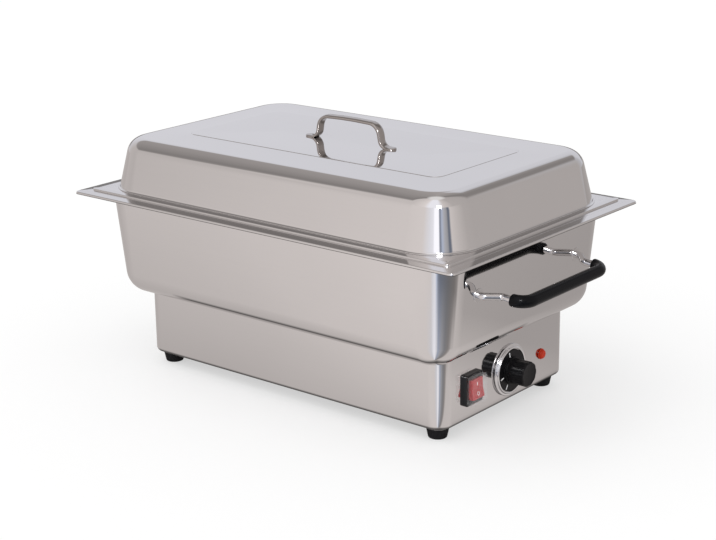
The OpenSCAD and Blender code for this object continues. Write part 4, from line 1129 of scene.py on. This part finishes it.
# Higher up, the light patch behind is gone
UPPER = tuple(stop for stop in SHOULDER if not -172 < stop[0] < -150)
FAR_FLOOR = (
    (-180, 0.46, WARM), (-120, 0.56, WARM), (-90, 0.56, WARM), (-72, 0.66, WARM), (-60, 0.75, WARM),
    (-43, 0.82, WARM), (5, 0.82, WARM), (24, 0.8, WARM), (31, 0.86, COOL), (38, 0.98, COOL),
    (43, 0.66, BLUE), (47, 0.3, BLUE), (53, 0.21, BLUE), (80, 0.19, COOL), (100, 0.22, WARM),
    (109, 0.32, WARM), (115, 0.62, WARM), (124, 0.57, WARM), (142, 0.49, WARM), (161, 0.44, WARM),
    (180, 0.46, WARM),
)
NEAR_FLOOR = (
    (-180, 0.56, WARM), (-90, 0.6, WARM), (-60, 0.73, WARM), (-39, 0.78, WARM), (5, 0.78, WARM),
    (24, 0.78, COOL), (33, 1.05, COOL), (38, 1.05, COOL), (45, 0.82, COOL), (50, 0.46, BLUE),
    (64, 0.42, COOL), (76, 0.28, COOL), (90, 0.29, WARM), (97, 0.42, WARM), (104, 0.66, WARM),
    (110, 0.66, WARM), (150, 0.68, WARM), (165, 0.62, WARM), (180, 0.56, WARM),
)
# Share of the far studio, by the same degrees, that is dark close above the table
DIM_LOW = ((-180, 0, WARM), (-168, 1, WARM), (-116, 1, WARM), (-104, 0, WARM), (180, 0, WARM))
DIM = (0.2, 0.19, 0.19)
OVERHEAD = (0.9, 0.88, 0.87)
SHADOW = (0.1, 0.094, 0.092)
BRIGHTEST = 1.4
CORNER_AT = (0.25, -0.16)
# Bands over which one gives way to the next: of rise, the sine of the height above the corner, or of metres
TO_SHOULDER = (0.47, 0.54)
TO_UPPER = (0.66, 0.76)
TO_OVERHEAD = (0.965, 0.99)
TO_FAR_FLOOR = (0.2, 0.4)
OUT_OF_SHADOW = (0.0, 0.035)
# The rise that ends the dim part, the floor's glow for the camera, two sizes in metres, the sky as light
DIM_BELOW = 0.14
FLOOR_GLOW = 0.55
FLOOR_HALF = 12.0
DOME_RADIUS = 9.0
SKY_LIGHT = 0.84


def bright(colour):
    """A colour as a share of the brightest."""
    return [c / BRIGHTEST for c in colour]


class Surroundings:
    """Where a stage surface is, seen from the dish's front corner, and colours by that."""

    def __init__(self, paint):
        self.paint = paint
        place = paint.node("ShaderNodeTexCoord", out="Object")
        self.x, self.y, height = paint.several("ShaderNodeSeparateXYZ", "XYZ", {0: place})
        x, y = self.x - CORNER_AT[0], self.y - CORNER_AT[1]
        self.turn = paint.node("ShaderNodeMath", {"operation": "ARCTAN2"}, {0: x, 1: 0 - y}) / TURN + 0.5
        self.away = (x * x + y * y) ** 0.5
        self.rise = height / (x * x + y * y + height * height) ** 0.5

    def ring(self, table):
        """A colour that changes with the turn about the corner."""
        stops = [((a + 180) / 360, [level * c / BRIGHTEST for c in tint]) for a, level, tint in table]
        return self.paint.node("ShaderNodeValToRGB", {"stops": stops}, {0: self.turn})

    def blend(self, value, band, first, second):
        """One colour below a band of values, another above it."""
        low, high = band
        share = self.paint.node("ShaderNodeClamp", {}, {0: (value - low) / (high - low)})
        return self.paint.mixed(share, first, second)

    def outside(self, half_length, half_width):
        """Distance outside a rectangle on the floor: the greater of the two overshoots."""
        along = self.x.sum("ABSOLUTE", self.x) - half_length
        across = self.y.sum("ABSOLUTE", self.y) - half_width
        return along.sum("MAXIMUM", along, across)


def stage_mesh(name, points, faces, paint):
    """A piece of the stage."""
    mesh = bpy.data.meshes.new(name)
    mesh.from_pydata(np.array(points, float).tolist(), [], np.array(faces).tolist())
    mesh.materials.append(paint.material)
    made = bpy.data.objects.new(name, mesh)
    bpy.context.scene.collection.objects.link(made)
    return made


def hide_from(thing, *rays):
    """Hides an object of the stage from some kinds of ray."""
    for ray in rays:
        setattr(thing, "visible_" + ray, False)


def make_floor(base):
    """Pale paper floor that keeps a light shadow, and the studio's light and dark in polished steel."""
    p = Paint("floor_paper")
    p.shade(Base_Color=(0.97, 0.97, 0.97), Roughness=0.9, Specular_IOR_Level=0.0)
    camera, glossy = p.several("ShaderNodeLightPath", ("Is Camera Ray", "Is Glossy Ray"))
    where = Surroundings(p)
    mirrored = where.blend(where.away, TO_FAR_FLOOR, where.ring(NEAR_FLOOR), where.ring(FAR_FLOOR))
    from_base = where.outside(base.half_length, base.half_width)
    mirrored = where.blend(from_base, OUT_OF_SHADOW, bright(SHADOW), mirrored)
    tone = p.mixed(glossy, bright((1, 1, 1)), mirrored)
    glow = p.node("ShaderNodeEmission", {}, {"Color": tone, "Strength": BRIGHTEST})
    share = FLOOR_GLOW * camera + glossy
    both = p.node("ShaderNodeMixShader", {}, {0: share, 1: Wire(p, p.shader.outputs[0]), 2: glow})
    p.fill(p.output.inputs[0], both)
    sheet = rectangle((-FLOOR_HALF, -FLOOR_HALF), (FLOOR_HALF, FLOOR_HALF))
    stage_mesh("floor", np.column_stack([sheet, np.zeros(4)]), [(0, 1, 2, 3)], p)


def make_dome():
    """Half a ball round the scene that shows in polished surfaces alone."""
    p = Paint("studio_dome")
    where = Surroundings(p)
    tone = where.blend(where.rise, TO_SHOULDER, where.ring(HORIZON), where.ring(SHOULDER))
    tone = where.blend(where.rise, TO_UPPER, tone, where.ring(UPPER))
    tone = where.blend(where.rise, TO_OVERHEAD, tone, bright(OVERHEAD))
    dim = where.ring(DIM_LOW) * BRIGHTEST * (where.rise < DIM_BELOW)
    tone = p.mixed(dim, tone, bright(DIM))
    p.fill(p.output.inputs[0], p.node("ShaderNodeEmission", {}, {"Color": tone, "Strength": BRIGHTEST}))
    around_count, up_count, hole = 96, 24, 0.01
    turn = np.arange(around_count) * TURN / around_count
    rise = np.linspace(0, 0.25 * TURN - hole, up_count)[:, None]
    ball = [np.cos(rise) * np.cos(turn), np.cos(rise) * np.sin(turn), np.sin(rise) + 0 * turn]
    points = DOME_RADIUS * np.stack(ball, -1)
    index = np.arange(up_count * around_count).reshape(up_count, around_count)
    dome = stage_mesh("studio_dome", points.reshape(-1, 3), quads_between(index[:-1], index[1:]), p)
    hide_from(dome, "camera", "diffuse", "shadow", "transmission", "volume_scatter")


def make_sky():
    """White where the camera or a mirror sees it, and a little less as light."""
    world = bpy.data.worlds.new("studio")
    bpy.context.scene.world = world
    sky = Nodes(world)
    rays = ("Is Camera Ray", "Is Glossy Ray", "Is Transmission Ray")
    camera, glossy, through = sky.several("ShaderNodeLightPath", rays)
    seen = camera.sum("MAXIMUM", camera.sum("MAXIMUM", camera, glossy), through)
    level = sky.node("ShaderNodeMapRange", {}, {"Value": seen, "To Min": SKY_LIGHT, "To Max": 1.0})
    background = sky.tree.nodes["Background"]
    sky.fill(background.inputs["Color"], (1.0, 1.0, 1.0))
    sky.fill(background.inputs["Strength"], level)


def add_lamp(name, kind, **settings):
    """A lamp with its settings."""
    data = bpy.data.lights.new(name, kind)
    for key, value in settings.items():
        setattr(data, key, value)
    lamp = bpy.data.objects.new(name, data)
    bpy.context.scene.collection.objects.link(lamp)
    return lamp


def make_lamps():
    """A broad soft key that polished surfaces don't show, and a panel of light for highlights."""
    key = add_lamp("soft_key", "SUN", energy=0.9, angle=math.radians(75))
    key.rotation_euler = (math.radians(28), math.radians(-22), 0)
    hide_from(key, "glossy")
    shine = add_lamp("shine", "AREA", shape="RECTANGLE", size=0.45, size_y=0.7, energy=22.0)
    out = outward(math.radians(45), math.radians(35))
    aim_height, away = 0.2, 2.6
    shine.location = Vector((*CORNER_AT, aim_height)) + away * out
    shine.rotation_euler = out.to_track_quat("Z", "Y").to_euler()
    hide_from(shine, "diffuse", "camera")


class MakeStage(bpy.types.Operator):
    """Makes the camera, the pale floor, the reflected studio and the lights"""
    bl_idname = "chafing.make_stage"
    bl_label = "Stage"

    def execute(self, context):
        make_camera()
        make_floor(context.scene.chafing_base)
        make_dome()
        make_sky()
        make_lamps()
        context.scene.view_settings.view_transform = "Standard"
        return {"FINISHED"}


class ChafingPanel(bpy.types.Panel):
    """Lists the steps that make the chafing dish"""
    bl_idname = "VIEW3D_PT_chafing"
    bl_label = "Chafing dish"
    bl_space_type = "VIEW_3D"
    bl_region_type = "UI"
    bl_category = "Chafing dish"

    def draw(self, context):
        for step in STEPS:
            self.layout.operator(step.bl_idname)
        for group in GROUPS:
            settings = getattr(context.scene, group)
            box = self.layout.box()
            for key in settings.__annotations__:
                box.prop(settings, key)


GROUPS = {
    "chafing_lid": LidSizes,
    "chafing_pans": PanSizes,
    "chafing_base": BaseSizes,
    "chafing_controls": ControlSizes,
    "chafing_finishes": Finishes,
}
STEPS = (MakeStage, MakeLid, MakeFoodPan, MakeTopFrame, MakeWaterPan, MakeBase, MakeFeet, MakeSideHandles,
         MakeSwitch, MakeThermostat, MakeLamp, MakeGland, DressFrame)


def register():
    for kind in (*GROUPS.values(), *STEPS, ChafingPanel):
        bpy.utils.register_class(kind)
    for name, kind in GROUPS.items():
        setattr(bpy.types.Scene, name, PointerProperty(type=kind))


def unregister():
    for name in GROUPS:
        delattr(bpy.types.Scene, name)
    for kind in (ChafingPanel, *reversed(STEPS), *GROUPS.values()):
        bpy.utils.unregister_class(kind)


def main():
    """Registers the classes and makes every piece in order."""
    register()
    make_finishes(bpy.context.scene.chafing_finishes)
    for step in STEPS:
        group, name = step.bl_idname.split(".")
        getattr(getattr(bpy.ops, group), name)()


if __name__ == "__main__":
    main()
